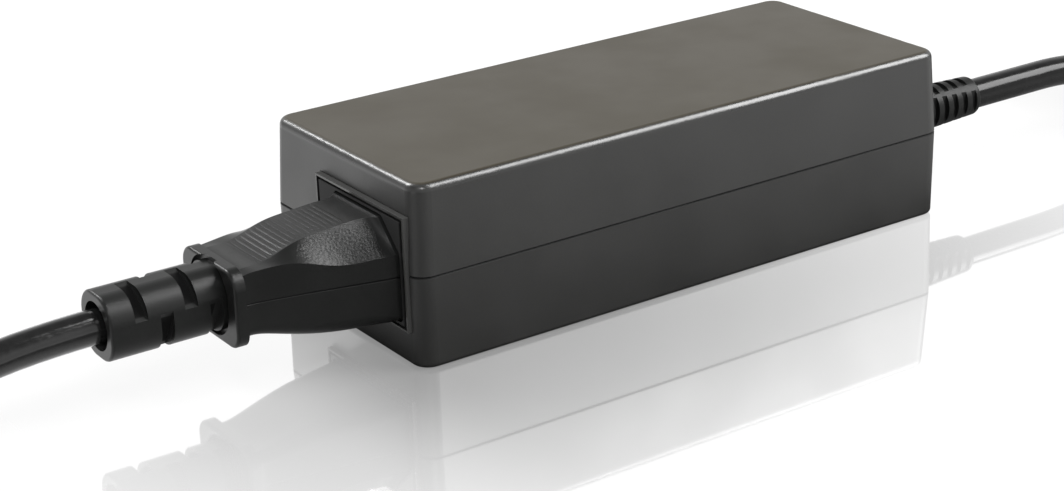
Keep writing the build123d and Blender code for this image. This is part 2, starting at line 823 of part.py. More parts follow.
with BuildPart() as bulk_capacitor:
    with BuildSketch(Plane.YZ.offset(bulk_x)):
        with BuildLine():
            Polyline(
                (-bulk_length / 2, bulk_z),
                (-bulk_length / 2, bulk_z + bulk_radius),
                (-bulk_length / 2 + bulk_bead, bulk_z + bulk_radius),
                (
                    -bulk_length / 2 + bulk_bead + bulk_bead_width / 2,
                    bulk_z + bulk_radius - bulk_bead_depth,
                ),
                (-bulk_length / 2 + bulk_bead + bulk_bead_width, bulk_z + bulk_radius),
                (bulk_length / 2, bulk_z + bulk_radius),
                (bulk_length / 2, bulk_z),
                close=True,
            )
        make_face()
    revolve(axis=Axis((bulk_x, 0, bulk_z), (0, 1, 0)))
    fillet(bulk_capacitor.faces().sort_by(Axis.Y)[-1].edges(), bulk_bead_depth)
    for side in (-1, 1):
        foot = (bulk_x + side * bulk_radius / 2, -bulk_length / 2 - bulk_foot)
        leads.append(foot)
        start = (foot[0], -bulk_length / 2, bulk_z - bulk_radius / 2)
        with BuildLine() as lead_route:
            FilletPolyline(
                start, (*foot, start[2]), (*foot, board_z - lead_below), radius=lead_diameter
            )
        with BuildSketch(Plane(origin=start, z_dir=lead_route.wire() % 0)):
            Circle(lead_diameter / 2)
        sweep(path=lead_route.wire())

transformer_x, transformer_y = place(29.3, -8.0)
core_length, core_depth, bobbin_width = sized(24.0, 14.0, 22.0)
window_radius, post_radius, row_inset, row_pitch = sized(9.2, 4.4, 1.5, 5.0)
core_height, window_height, bobbin_base, bobbin_wall = 19.0, 13.0, 1.5, 0.8
core_z = board_top + bobbin_base
window_z = core_z + (core_height - window_height) / 2


def post_plane(z):
    return Plane(origin=(transformer_x, transformer_y, z))


with BuildPart() as transformer_core:
    with BuildSketch(post_plane(core_z)):
        Rectangle(core_length, core_depth)
    extrude(amount=core_height)
    with BuildSketch(post_plane(window_z)):
        Circle(window_radius)
        Circle(post_radius, mode=Mode.SUBTRACT)
    extrude(amount=window_height, mode=Mode.SUBTRACT)

with BuildPart() as transformer_bobbin:
    with BuildSketch(post_plane(board_top)):
        RectangleRounded(core_length, bobbin_width, bobbin_wall)
    extrude(amount=bobbin_base)
    with BuildSketch(post_plane(window_z)):
        Circle(post_radius + bobbin_wall)
        Circle(post_radius, mode=Mode.SUBTRACT)
    extrude(amount=window_height)
    for low in (window_z, window_z + window_height - bobbin_wall):
        with BuildSketch(post_plane(low)):
            Circle(window_radius)
            Circle(post_radius, mode=Mode.SUBTRACT)
        extrude(amount=bobbin_wall)
    with BuildSketch(post_plane(board_top + bobbin_base)):
        for side in (-1, 1):
            with Locations((0, side * (core_depth / 2 + bobbin_wall))):
                Rectangle(core_length / 3, 2 * bobbin_wall - snug)
    extrude(amount=window_z - core_z)
    for side in (-1, 1):
        row_y = transformer_y + side * (bobbin_width / 2 - row_inset)
        add(legs([(transformer_x + row_pitch * (n - 1.5), row_y) for n in range(4)], board_top))

with BuildPart() as transformer_winding:
    with BuildSketch(post_plane(window_z + bobbin_wall)):
        Circle(window_radius - bobbin_wall / 2)
        Circle(post_radius + bobbin_wall, mode=Mode.SUBTRACT)
    extrude(amount=window_height - 2 * bobbin_wall)

_, heatsink_y = place(0, 18.5)
heatsink_sheet, power_width, power_depth, power_tab, power_pitch = sized(1.5, 10.0, 4.5, 1.3, 2.54)
heatsink_height, heatsink_corner, power_body, power_tab_height = 17.0, 1.0, 9.0, 15.5
power_lift, power_leg, power_leg_sheet = 1.5, 0.8, 0.5
screw_radius, screw_head, screw_head_height, screw_drop = 1.5, 2.75, 2.0, 3.0
face_y = heatsink_y - heatsink_sheet
screw_z = board_top + power_lift + power_tab_height - screw_drop


def power_legs(x):
    """Where a power device's flat legs stand on the board."""
    return [(x + power_pitch * (n - 1), face_y - power_depth / 2) for n in range(3)]


def power_device(x):
    """A three-legged power device with a metal tab, its back on the heatsink."""
    with BuildPart() as device:
        with BuildSketch(Plane(origin=(x, face_y - power_depth / 2, board_top + power_lift))):
            Rectangle(power_width, power_depth)
        extrude(amount=power_body)
        chamfer(device.faces().sort_by(Axis.Y)[0].edges().filter_by(Axis.Z), power_leg)
        with BuildSketch(Plane(origin=(x, face_y - power_tab / 2, board_top + power_lift))):
            Rectangle(power_width, power_tab)
        extrude(amount=power_tab_height)
        with BuildSketch(Plane.XZ.offset(-face_y)):
            with Locations((x, screw_z)):
                Circle(screw_radius + snug)
        extrude(amount=power_tab, mode=Mode.SUBTRACT)
        for leg_x, leg_y in power_legs(x):
            with BuildSketch(Plane(origin=(leg_x, leg_y, board_z - lead_below))):
                Rectangle(power_leg, power_leg_sheet)
            extrude(amount=board_top + power_lift - board_z + lead_below)
    return device


def heatsink(low, high, device_x):
    """An upright plate along the board's edge, with its device's screw hole."""
    with BuildPart() as plate:
        with BuildSketch(Plane(origin=((low + high) / 2, heatsink_y - heatsink_sheet / 2, board_top))):
            Rectangle(high - low, heatsink_sheet)
        extrude(amount=heatsink_height)
        fillet(plate.faces().sort_by(Axis.Z)[-1].edges().filter_by(Axis.Y), heatsink_corner)
        with BuildSketch(Plane.XZ.offset(-heatsink_y)):
            with Locations((device_x, screw_z)):
                Circle(screw_radius + snug)
        extrude(amount=heatsink_sheet, mode=Mode.SUBTRACT)
    return plate


switch_x, rectifier_x = (place(x, 0)[0] for x in (24.0, 43.6))
switching_transistor = power_device(switch_x)
rectifier_diode = power_device(rectifier_x)
primary_heatsink = heatsink(place(16.5, 0)[0], place(35.5, 0)[0], switch_x)
secondary_heatsink = heatsink(place(37.5, 0)[0], place(50.0, 0)[0], rectifier_x)

with BuildPart() as heatsink_screws:
    for x in (switch_x, rectifier_x):
        with BuildSketch(Plane.XZ.offset(-heatsink_y)):
            with Locations((x, screw_z)):
                Circle(screw_radius)
        extrude(amount=heatsink_sheet + power_tab)
        with BuildSketch(Plane.XZ.offset(-face_y + power_tab)):
            with Locations((x, screw_z)):
                Circle(screw_head)
        extrude(amount=screw_head_height)

output_radius, output_reach = sized(4.0, 1.75)
output_height = 16.0
output_places = [place(45.6, -5.4), place(45.6, 3.4)]

with BuildPart() as output_capacitors:
    for x, y in output_places:
        with BuildSketch(Plane(origin=(x, y, board_top))):
            Circle(output_radius)
        extrude(amount=output_height)
    fillet(output_capacitors.faces().group_by(Axis.Z)[-1].edges(), bulk_bead_depth)
    for x, y in output_places:
        add(legs([(x, y - output_reach), (x, y + output_reach)], board_top))

coil_radius, coil_hole, coil_width, coil_wire = sized(3.7, 1.8, 2.8, 0.6)
coil_plane = Plane(
    origin=(*place(43.8, 10.4), board_top + coil_radius + coil_wire),
    x_dir=(1, 0, 0),
    z_dir=(0, -1, 0),
)
output_choke = ring(coil_plane, coil_radius, coil_hole, coil_width)
output_choke_winding = ring_winding(
    coil_plane, coil_radius, coil_hole, coil_width, coil_wire, [(120, 300)]
)

chip_height, opto_height, chip_leg = 1.5, 3.5, sized(0.8)


def chip(x, y, length, width, height, count):
    """A small moulded chip with gull-wing leads along two sides."""
    with BuildPart() as part:
        with BuildSketch(Plane(origin=(x, y, board_top + lip_clearance))):
            Rectangle(length, width)
        extrude(amount=height)
        chamfer(part.faces().sort_by(Axis.Z)[-1].edges(), lip_clearance * 2)
        with BuildSketch(Plane(origin=(x, y, board_top))):
            with GridLocations(length / count, width + chip_leg, count, 2):
                Rectangle(power_leg_sheet, chip_leg)
        extrude(amount=height / 2)
    return part


controller_chip = chip(*place(19.5, 7.5), *sized(5.0, 4.0), chip_height, 4)
optocoupler = chip(*place(26.5, 7.6), *sized(4.6, 6.5), opto_height, 2)

outline_x, outline_length = (board_low_x + board_high_x) / 2, board_high_x - board_low_x

with BuildPart() as main_board:
    with BuildSketch(Plane(origin=(outline_x, 0, board_z))):
        RectangleRounded(outline_length, 2 * board_half_y, inner_corner)
    extrude(amount=board_thickness)
    with BuildSketch(Plane(origin=(notch_x, notch_y, board_z))):
        Rectangle(case_length, case_width, align=(Align.MAX, Align.MAX))
    extrude(amount=board_thickness, mode=Mode.SUBTRACT)
    with BuildSketch(Plane.XY.offset(board_z)):
        with Locations(*leads):
            Circle(lead_hole / 2)
        with Locations(*power_legs(switch_x), *power_legs(rectifier_x)):
            Rectangle(power_leg + fit, power_leg_sheet + fit)
    extrude(amount=board_thickness, mode=Mode.SUBTRACT)


def floor_sheet(low, thickness):
    """A thin sheet that lies over the bottom cover's floor, with room for the board's bosses."""
    with BuildPart() as layer:
        with BuildSketch(Plane.XY.offset(low)):
            RectangleRounded(
                case_length - 2 * (wall + board_margin),
                case_width - 2 * (wall + board_margin),
                inner_corner,
            )
            with Locations(*boss_places):
                Circle(boss_radius + boss_clear, mode=Mode.SUBTRACT)
        extrude(amount=thickness)
    return layer


bottom_heat_spreader = floor_sheet(floor_z, spreader)
insulating_sheet = floor_sheet(sheet_z, sheet)

pad_length, pad_width = sized(20.0, 12.0)
core_top = core_z + core_height

with BuildPart() as top_heat_spreader:
    with BuildSketch(Plane.XY.offset(ceiling_z - spreader)):
        RectangleRounded(
            case_length - 2 * (wall + top_draft + board_margin),
            case_width - 2 * (wall + top_draft + board_margin),
            inner_corner,
        )
    extrude(amount=spreader)

with BuildPart() as thermal_pad:
    with BuildSketch(Plane(origin=(transformer_x, transformer_y, core_top))):
        RectangleRounded(pad_length, pad_width, inner_corner)
    extrude(amount=ceiling_z - spreader - core_top)


def bent_wire(start, reach, diameter):
    """A wire that leaves along X and turns down onto the board."""
    x, y, z = start
    with BuildPart() as wire:
        with BuildLine() as route:
            FilletPolyline(start, (x + reach, y, z), (x + reach, y, board_top), radius=diameter)
        with BuildSketch(Plane(origin=start, z_dir=route.wire() % 0)):
            Circle(diameter / 2)
        sweep(path=route.wire())
    return wire.part


with BuildPart() as inlet_wires:
    for y, z in pin_places + [earth_place]:
        add(bent_wire((tag_end_x, y, z), wire_diameter + fit, wire_diameter))

with BuildPart() as output_wires:
    for side in (-1, 1):
        y = outlet_y + side * output_wire
        add(bent_wire((boot_inner_x, y, outlet_z), -output_wire - fit, output_wire))

# ==== the finished pieces =================================================================================
pieces = {
    "top_cover": top_cover,
    "bottom_cover": bottom_cover,
    "ac_inlet_housing": ac_inlet_housing,
    "ac_inlet_pins": ac_inlet_pins,
    "ac_inlet_earth_pin": ac_inlet_earth_pin,
    "inlet_wires": inlet_wires,
    "main_board": main_board,
    "insulating_sheet": insulating_sheet,
    "bottom_heat_spreader": bottom_heat_spreader,
    "top_heat_spreader": top_heat_spreader,
    "thermal_pad": thermal_pad,
    "fuse": fuse,
    "fuse_clips": fuse_clips,
    "inrush_thermistor": inrush_thermistor,
    "surge_varistor": surge_varistor,
    "x_capacitor": x_capacitor,
    "common_mode_core": common_mode_core,
    "common_mode_winding": common_mode_winding,
    "bridge_rectifier": bridge_rectifier,
    "bulk_capacitor": bulk_capacitor,
    "switching_transistor": switching_transistor,
    "primary_heatsink": primary_heatsink,
    "heatsink_screws": heatsink_screws,
    "transformer_core": transformer_core,
    "transformer_bobbin": transformer_bobbin,
    "transformer_winding": transformer_winding,
    "y_capacitor": y_capacitor,
    "optocoupler": optocoupler,
    "controller_chip": controller_chip,
    "rectifier_diode": rectifier_diode,
    "secondary_heatsink": secondary_heatsink,
    "output_capacitors": output_capacitors,
    "output_choke": output_choke,
    "output_choke_winding": output_choke_winding,
    "output_wires": output_wires,
    "dc_strain_relief": dc_strain_relief,
    "dc_cord": dc_cord,
    "dc_cord_hank": dc_cord_hank,
    "dc_cord_tie": dc_cord_tie,
    "dc_cord_tail": dc_cord_tail,
    "dc_plug_grip": dc_plug_grip,
    "dc_plug_barrel": dc_plug_barrel,
    "dc_plug_insulator": dc_plug_insulator,
    "dc_plug_centre": dc_plug_centre,
    "connector_body": connector_body,
    "connector_insert": connector_insert,
    "connector_contacts": connector_contacts,
    "ac_cord": ac_cord,
    "ac_cord_hank": ac_cord_hank,
    "ac_cord_tie": ac_cord_tie,
    "ac_cord_tail": ac_cord_tail,
    "mains_plug_body": mains_plug_body,
    "mains_plug_blades": mains_plug_blades,
    "mains_plug_earth_pin": mains_plug_earth_pin,
}
for name, piece in pieces.items():
    keep(piece, name)
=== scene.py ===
# %% [markdown]
# # A laptop power adapter
# The adapter is a charcoal plastic case with a mains lead plugged into one end and a thin output cord
# moulded into the other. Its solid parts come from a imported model, in metres. Everything could be modelled
# here from nothing, but then the looks and the engineering would drift apart. So the solids stay as they
# are, and this lesson gives them their finishes, adds what a solid model is poor at, such as cords and
# fine ribs, and lights the whole.

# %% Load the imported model
from math import cos, pi, radians, sin

import bpy
from mathutils import Matrix, Vector
from mathutils.bvhtree import BVHTree


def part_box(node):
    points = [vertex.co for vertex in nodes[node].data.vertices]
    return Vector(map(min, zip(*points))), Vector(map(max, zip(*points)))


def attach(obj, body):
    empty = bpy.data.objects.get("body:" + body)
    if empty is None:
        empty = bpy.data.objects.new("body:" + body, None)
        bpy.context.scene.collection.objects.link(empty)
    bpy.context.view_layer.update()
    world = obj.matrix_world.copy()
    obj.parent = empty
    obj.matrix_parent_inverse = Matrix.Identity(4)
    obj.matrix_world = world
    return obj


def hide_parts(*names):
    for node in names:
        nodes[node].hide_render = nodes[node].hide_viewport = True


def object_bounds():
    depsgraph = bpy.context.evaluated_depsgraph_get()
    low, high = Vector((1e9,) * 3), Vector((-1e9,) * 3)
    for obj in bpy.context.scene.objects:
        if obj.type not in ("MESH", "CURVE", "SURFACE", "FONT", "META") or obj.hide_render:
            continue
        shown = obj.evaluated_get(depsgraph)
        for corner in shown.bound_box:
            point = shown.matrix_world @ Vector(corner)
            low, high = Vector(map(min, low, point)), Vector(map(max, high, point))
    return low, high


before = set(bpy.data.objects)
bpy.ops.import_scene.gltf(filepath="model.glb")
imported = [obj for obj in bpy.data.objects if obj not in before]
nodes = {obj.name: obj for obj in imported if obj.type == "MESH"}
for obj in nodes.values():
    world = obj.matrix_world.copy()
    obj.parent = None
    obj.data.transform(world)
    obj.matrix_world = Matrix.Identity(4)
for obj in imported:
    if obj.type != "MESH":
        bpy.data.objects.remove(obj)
cad_box = [list(corner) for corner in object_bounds()]
scene = bpy.context.scene
MM = 0.001
print(len(nodes), "solid parts, in a box of", [round(h - l, 4) for l, h in zip(*cad_box)], "m")

# %% [markdown]
# ## The camera
# The case is seen from above its mains end, with one long side and the inlet's end in view. Seen from
# close by, so small a thing looks smaller at its far end, which a camera a few metres off would lose, so
# this one stands about 37 cm away and leans a little to one side. Its turn could be three angles in a
# row. It is built from three directions at right angles instead, which are easier to follow.

# %% Place the camera
TURN, RISE, LEAN = radians(-33.849), radians(21.944), radians(-1.965)
AIM, REACH = Vector((-0.032543, -0.021309, 0.01525)), 0.366719

back = Vector((sin(TURN) * cos(RISE), -cos(TURN) * cos(RISE), sin(RISE)))
level = (-back).cross(Vector((0, 0, 1))).normalized()
upright = level.cross(-back)
right = level * cos(LEAN) + upright * sin(LEAN)
up = upright * cos(LEAN) - level * sin(LEAN)
facing = Matrix((right, up, back)).transposed().to_4x4()
camera = bpy.data.objects.new("camera", bpy.data.cameras.new("camera"))
camera.matrix_world = Matrix.Translation(AIM + back * REACH) @ facing
camera.data.sensor_width = 36.0
camera.data.lens = 77.9
camera.data.clip_start = 0.01
scene.collection.objects.link(camera)
scene.camera = camera
print("camera at", [round(v, 4) for v in camera.matrix_world.translation])

# %% [markdown]
# ## Graphs as sums
# Materials and Geometry Nodes are both graphs of nodes, which are quick to draw by hand and slow to read
# in a script. Here one small class holds a node's output and knows plus, minus, times and divide, so that
# a pattern reads as a formula. Every other node comes from one method of the graph's own class, which
# sets a node's options before its values. Most masks are the same smooth step, so the graph has that
# ready in three forms.


# %% A socket that can be added and multiplied
class Value:
    """What one node gives out, usable in a sum."""

    def __init__(self, graph, socket):
        self.graph = graph
        self.socket = socket

    def maths(self, operation, *others):
        """One Math node, on this value and the others."""
        values = dict(enumerate((self, *others)))
        return self.graph.node("ShaderNodeMath", {"operation": operation}, values)

    def __add__(self, other):
        return self.maths("ADD", other)

    def __sub__(self, other):
        return self.maths("SUBTRACT", other)

    def __rsub__(self, other):
        return self * -1.0 + other

    def __mul__(self, other):
        return self.maths("MULTIPLY", other)

    def __truediv__(self, other):
        return self.maths("DIVIDE", other)

    def __abs__(self):
        return self.maths("ABSOLUTE")

    __radd__ = __add__
    __rmul__ = __mul__


# %% A graph that is added to node by node
class Graph:
    """A node tree and a short way to add to it."""

    def __init__(self, tree):
        self.tree = tree

    def node(self, kind, options=None, values=None, output=0):
        """A new node; its options are set first, and then its inputs' values or links."""
        made = self.tree.nodes.new(kind)
        for key, value in (options or {}).items():
            setattr(made, key, value)
        for key, value in (values or {}).items():
            self.plug(made.inputs[key], value)
        return Value(self, made.outputs[output])

    def plug(self, socket, value):
        """Links a value to a socket, or sets the socket where the value is plain."""
        if isinstance(value, Value):
            self.tree.links.new(value.socket, socket)
        else:
            socket.default_value = value

    def ramp(self, value, low, high, start=0.0, end=1.0):
        """A smooth step: start below low, end above high."""
        return self.node(
            "ShaderNodeMapRange",
            {"interpolation_type": "SMOOTHSTEP"},
            {"Value": value, "From Min": low, "From Max": high, "To Min": start, "To Max": end},
        )

    def past(self, value, edge, fade):
        """0 up to the edge, then 1 from a fade past it."""
        return self.ramp(value, edge, edge + fade)

    def until(self, value, edge, fade):
        """1 up to the edge, then 0 from a fade past it."""
        return self.ramp(value, edge, edge + fade, 1.0, 0.0)


# %% A finish: one material and the ways to fill it
class Finish(Graph):
    """A material that is built up from nodes around its main shader."""

    def __init__(self, name):
        self.material = bpy.data.materials.new(name)
        self.material.use_nodes = True
        super().__init__(self.material.node_tree)
        self.shader = self.tree.nodes["Principled BSDF"]
        self.spot = self.node("ShaderNodeTexCoord", output="Object")
        split = self.node("ShaderNodeSeparateXYZ", values={0: self.spot}).socket.node
        self.x, self.y, self.z = (Value(self, socket) for socket in split.outputs)

    def set(self, **values):
        """Sets the main shader's sockets, named with _ for a space."""
        for key, value in values.items():
            self.plug(self.shader.inputs[key.replace("_", " ")], value)

    def linked(self, name):
        """What feeds one of the main shader's sockets, so that more can be laid over it."""
        return Value(self, self.shader.inputs[name].links[0].from_socket)

    def noise(self, size, detail=2.0, rough=0.5, stretch=None):
        """Soft random patches about this size, in metres, from 0 to 1."""
        where = self.spot
        if stretch:
            where = self.node("ShaderNodeVectorMath", {"operation": "MULTIPLY"}, {0: where, 1: stretch})
        return self.node(
            "ShaderNodeTexNoise",
            values={"Vector": where, "Scale": 1.0 / size, "Detail": detail, "Roughness": rough},
        )

    def grit(self, size):
        """Small cells, each 0 at its middle and rising to its rim."""
        return self.node("ShaderNodeTexVoronoi", values={"Vector": self.spot, "Scale": 1.0 / size})

    def blend(self, one, other, share):
        """One colour turning into another."""
        return self.node("ShaderNodeMix", {"data_type": "RGBA"}, {0: share, 6: one, 7: other}, 2)

    def relief(self, height, depth, over=None):
        """A bump this deep, in metres, where height runs from 0 to 1."""
        values = {"Height": height, "Distance": depth}
        if over:
            values["Normal"] = over
        return self.node("ShaderNodeBump", values=values)


# %% Colours, and giving a finish to solid parts
def rgb(*values):
    return (*values, 1.0)


def grey(value):
    return rgb(value, value, value)


def shade(color, factor):
    """A colour made darker or lighter."""
    return rgb(*(c * factor for c in color[:3]))


def dress(finish, *names):
    """Gives a finish to solid parts."""
    for name in names:
        for slot in nodes[name].material_slots:
            slot.link = "OBJECT"
            slot.material = finish.material
    print(finish.material.name, "on", ", ".join(names))


# %% [markdown]
# ## Moulded plastic
# The case's mould was spark-eroded, which leaves a fine, even grain that scatters light. A picture of such
# a grain could be wrapped round each part, but it would have to be unwrapped and would show its edges. A
# formula of the point's place has neither fault, so the grain is a very small noise as a bump. A slower
# noise moves the colour a little, as uneven pigment does, and the roughness, as handling does. The same
# recipe with other numbers makes the inlet, the bobbin, the chips and more. A part with leads is tinned
# where its tin mask says so. Where its painted shade mask says that light is kept out, it is painted
# nearly black and dull, as shade.

# %% The moulded finish
TIN = rgb(0.74, 0.74, 0.72)
TIN_ROUGHNESS = 0.28


def moulded(
    name, color, roughness, grain=0.4 * MM, depth=0.03 * MM, mottle=0.12, tin=None, painted_shade=None, **constants
):
    """A grained plastic. The tin mask and the painted shade mask are functions of the finish."""
    finish = Finish(name)
    slow = finish.noise(18 * MM, 3.0)
    fine = finish.noise(grain, 2.0, 0.6)
    tone = finish.ramp(slow + fine * 0.6, 0.5, 1.1)
    base = finish.blend(shade(color, 1.0 - mottle), shade(color, 1.0 + mottle), tone)
    rough = finish.ramp(slow, 0.3, 0.7, roughness - 0.04, roughness + 0.04)
    if tin:
        share = tin(finish)
        base = finish.blend(base, TIN, share)
        rough = rough + share * (TIN_ROUGHNESS - roughness)
        finish.set(Metallic=share)
    # Painted shade: where the mask says light is kept out, the plastic is painted nearly black and dull.
    if painted_shade:
        shade_share = painted_shade(finish)
        base = finish.blend(base, grey(0.0006), shade_share)
        rough = rough + shade_share * (0.95 - roughness)
    finish.set(Base_Color=base, Roughness=rough, Normal=finish.relief(fine, depth), **constants)
    return finish


# %% [markdown]
# ## The case
# The case is two halves, welded where they meet at a hairline seam. The seam could be left to the solids'
# own edges, but so thin a slit comes and goes with the distance, so a dark, dull line of painted shade is
# laid there. The flat top carries a breath of warm dust, and is painted a little lighter for its sheen. Its
# edges are what hands and bags rub, and rubbing smooths the grain, so the finish is glossier within two
# millimetres of them and they catch the light. Wear could be painted on by hand. On a box the distance to an
# edge is two subtractions, and it fits exactly.

# %% The case's finish
case_low, case_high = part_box("top_cover")
CASE_X, CASE_Y, CASE_TOP = case_high  # half of the case's length and width, and its height
END_WALL = case_low[0]
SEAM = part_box("bottom_cover")[1][2]
# Warm dust on the top, made lighter as a painted sheen.
WARM_DUST_AND_SHEEN = rgb(0.017, 0.0135, 0.0065)


def seam_painted_shade(finish):
    """Painted shade: a dark, dull hairline where the halves meet."""
    return finish.until(abs(finish.z - SEAM), 0.15 * MM, 0.15 * MM)


def case_plastic():
    """Charcoal plastic: painted shade at the seam, dust and painted sheen on the top, and rubbed edges."""
    charcoal = rgb(0.0125, 0.0125, 0.012)
    finish = moulded(
        "grained_case", charcoal, 0.44, 0.35 * MM, 0.008 * MM, painted_shade=seam_painted_shade, Specular_IOR_Level=0.42
    )
    plastic, dull = finish.linked("Base Color"), finish.linked("Roughness")
    from_top = CASE_TOP - finish.z
    from_side = (CASE_X - abs(finish.x)).maths("MINIMUM", CASE_Y - abs(finish.y))
    # The top face is painted warmer and lighter: dust and a painted sheen.
    dust_and_sheen = finish.until(from_top, 0.0, 0.25 * MM)
    rubbed = finish.until(from_top.maths("MAXIMUM", from_side), 1.2 * MM, 0.6 * MM)
    finish.set(Base_Color=finish.blend(plastic, WARM_DUST_AND_SHEEN, dust_and_sheen), Roughness=dull - rubbed * 0.15)
    return finish


dress(case_plastic(), "top_cover", "bottom_cover")

# %% [markdown]
# ## The mains inlet
# The inlet is a separate moulding that snaps into the end wall, blacker and smoother than the case. Its
# bezel is a frame with thin raised rims, and the outer rim catches a thin line of light. Inside the frame
# nothing does, because the recess is deep and black, so the recess is painted nearly black as shade. A
# lamp could pick the rim out, but only from one side, so the line of light is a painted highlight. The
# rims are part of the solid, so the finish only has to know how far in from the bezel's outline a point
# is: it is painted paler on the outer rim, as a highlight, and dull further in.

# %% The inlet's finish
inlet_low, inlet_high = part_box("ac_inlet_housing")
INLET_Y, INLET_Z = (inlet_low[1] + inlet_high[1]) / 2, (inlet_low[2] + inlet_high[2]) / 2
BEZEL_WIDE, BEZEL_HIGH, RIM = inlet_high[1] - inlet_low[1], 19.2 * MM, 0.35 * MM


def recess_painted_shade(finish):
    """Painted shade: all that lies behind the bezel's front, which stands a little out of the end wall."""
    return finish.past(finish.x, END_WALL - 0.5 * MM, 0.2 * MM)


def inlet_plastic():
    """Smooth black plastic, with a painted highlight on the rim and painted shade in the recess."""
    finish = moulded(
        "smooth_inlet", grey(0.006), 0.18, 0.3 * MM, 0.004 * MM, painted_shade=recess_painted_shade, Specular_IOR_Level=0.3
    )
    plastic, smooth = finish.linked("Base Color"), finish.linked("Roughness")
    from_end = BEZEL_HIGH / 2 - abs(finish.z - INLET_Z)
    inwards = (BEZEL_WIDE / 2 - abs(finish.y - INLET_Y)).maths("MINIMUM", from_end)
    # The outer rim is painted paler, as a painted highlight.
    rim_painted_highlight = finish.until(inwards, 0.8 * RIM, 0.3 * RIM)
    inner = finish.past(inwards, 2 * RIM, 0.3 * RIM)
    finish.set(
        Base_Color=finish.blend(plastic, rgb(0.03, 0.03, 0.029), rim_painted_highlight),
        Roughness=smooth + inner * 0.6,
    )
    return finish


dress(inlet_plastic(), "ac_inlet_housing")

# %% [markdown]
# ## The soft connector
# The grip, the strain reliefs and the plugs are soft PVC moulded over the cord. PVC takes a duller, waxier
# finish than the case. The grip's two halves of mould met along its sides, which leaves a thin groove, and
# the shade in it is painted as a thin dark line. The slanting thumb faces beside its ribs were given a
# coarse stipple. Both could be cut into the solid, but they are finer than its triangles are worth, so
# they are masks and bumps. The slots of the strain relief are in the solid. They let the cord bend, and so
# little light reaches their floors that the finish paints them dark as shade. All of it goes by a point's
# distance from the end wall and from the cord's axis, and so it stays put from any side. The insert that
# holds the contacts is a hard plastic.

# %% Soft PVC, and the hard insert
PVC = rgb(0.0062, 0.0064, 0.0062)


def soft_pvc(name, roughness=0.34, shine=0.2):
    """A waxy skin with slow waves and the finest of grain."""
    return moulded(name, PVC, roughness, 0.3 * MM, 0.01 * MM, 0.2, Specular_IOR_Level=shine)


soft_finish = soft_pvc("soft_overmould")
dress(soft_finish, "mains_plug_body", "dc_plug_grip")
dress(soft_pvc("boot_overmould", 0.42, 0.1), "dc_strain_relief")
dress(moulded("connector_insert", grey(0.01), 0.38, 0.4 * MM), "connector_insert")

# %% The connector's grip and its strain relief
FLANGE_OUT, RELIEF_OUT = 25.5 * MM, 46.3 * MM  # how far they stand out from the end wall
AXIS_Z = INLET_Z - 0.2 * MM  # the strain relief's axis


def grip_pvc():
    """Soft PVC with a parting line and slots painted dark as shade, and stippled thumb faces."""
    finish = soft_pvc("grip_overmould")
    vinyl, waxy = finish.linked("Base Color"), finish.linked("Roughness")
    out = END_WALL - finish.x
    aside = abs(finish.y - INLET_Y)
    raised = finish.z - AXIS_Z

    # The parting line runs the grip's length, up to the flange, and rises a little on the way out. It is a
    # bump, and it is painted dark as the shade in its groove.
    parting_groove_and_shade = finish.until(abs(raised - (out - 17 * MM) * 0.025), 0.05 * MM, 0.15 * MM)
    parting_groove_and_shade = parting_groove_and_shade * finish.until(out, FLANGE_OUT, 0.3 * MM)

    # The thumb faces slant down beside the flat top, in the half of the grip that is near the case.
    thumb = finish.past(out, 1.5 * MM, 1.5 * MM) * finish.until(out, 14 * MM, 4 * MM)
    thumb = thumb * finish.past(aside, 5.4 * MM, 0.8 * MM) * finish.past(raised, 3.0 * MM, 0.8 * MM)

    # The slots' floors are all of the strain relief that is nearer to its axis than its skin. They are
    # painted nearly black and dull, as shade.
    radius = (aside * aside + raised * raised).maths("SQRT")
    slot_painted_shade = finish.until(radius, 4.7 * MM, 0.4 * MM)
    slot_painted_shade = slot_painted_shade * finish.past(out, FLANGE_OUT + 3.3 * MM, 0.2 * MM)
    slot_painted_shade = slot_painted_shade * finish.until(out, RELIEF_OUT - 0.7 * MM, 0.2 * MM)

    skin = finish.relief(finish.noise(0.3 * MM, 2.0, 0.6), 0.01 * MM)
    dots = finish.relief(finish.grit(0.5 * MM) * thumb, 0.026 * MM, skin)
    finish.set(
        Base_Color=finish.blend(vinyl, grey(0.0005), slot_painted_shade + parting_groove_and_shade),
        Roughness=waxy + slot_painted_shade * 0.6,
        Normal=finish.relief(1.0 - parting_groove_and_shade, 0.06 * MM, dots),
    )
    return finish


dress(grip_pvc(), "connector_body")

# %% [markdown]
# ## Grip ribs
# Fine ribs across the top of the grip keep fingers from slipping when the connector is pulled. They repeat
# along a line, which is what Geometry Nodes are for: a line of points is laid on the surface, and the tree
# spaces it evenly, stands one round-backed rib on each point, turned with the line, and gives them all
# their finish. A loop that copies a mesh would do, but the tree keeps the count and the sizes as named
# inputs that can be tried by hand. The points' heights come from rays cast down onto the solid connector.


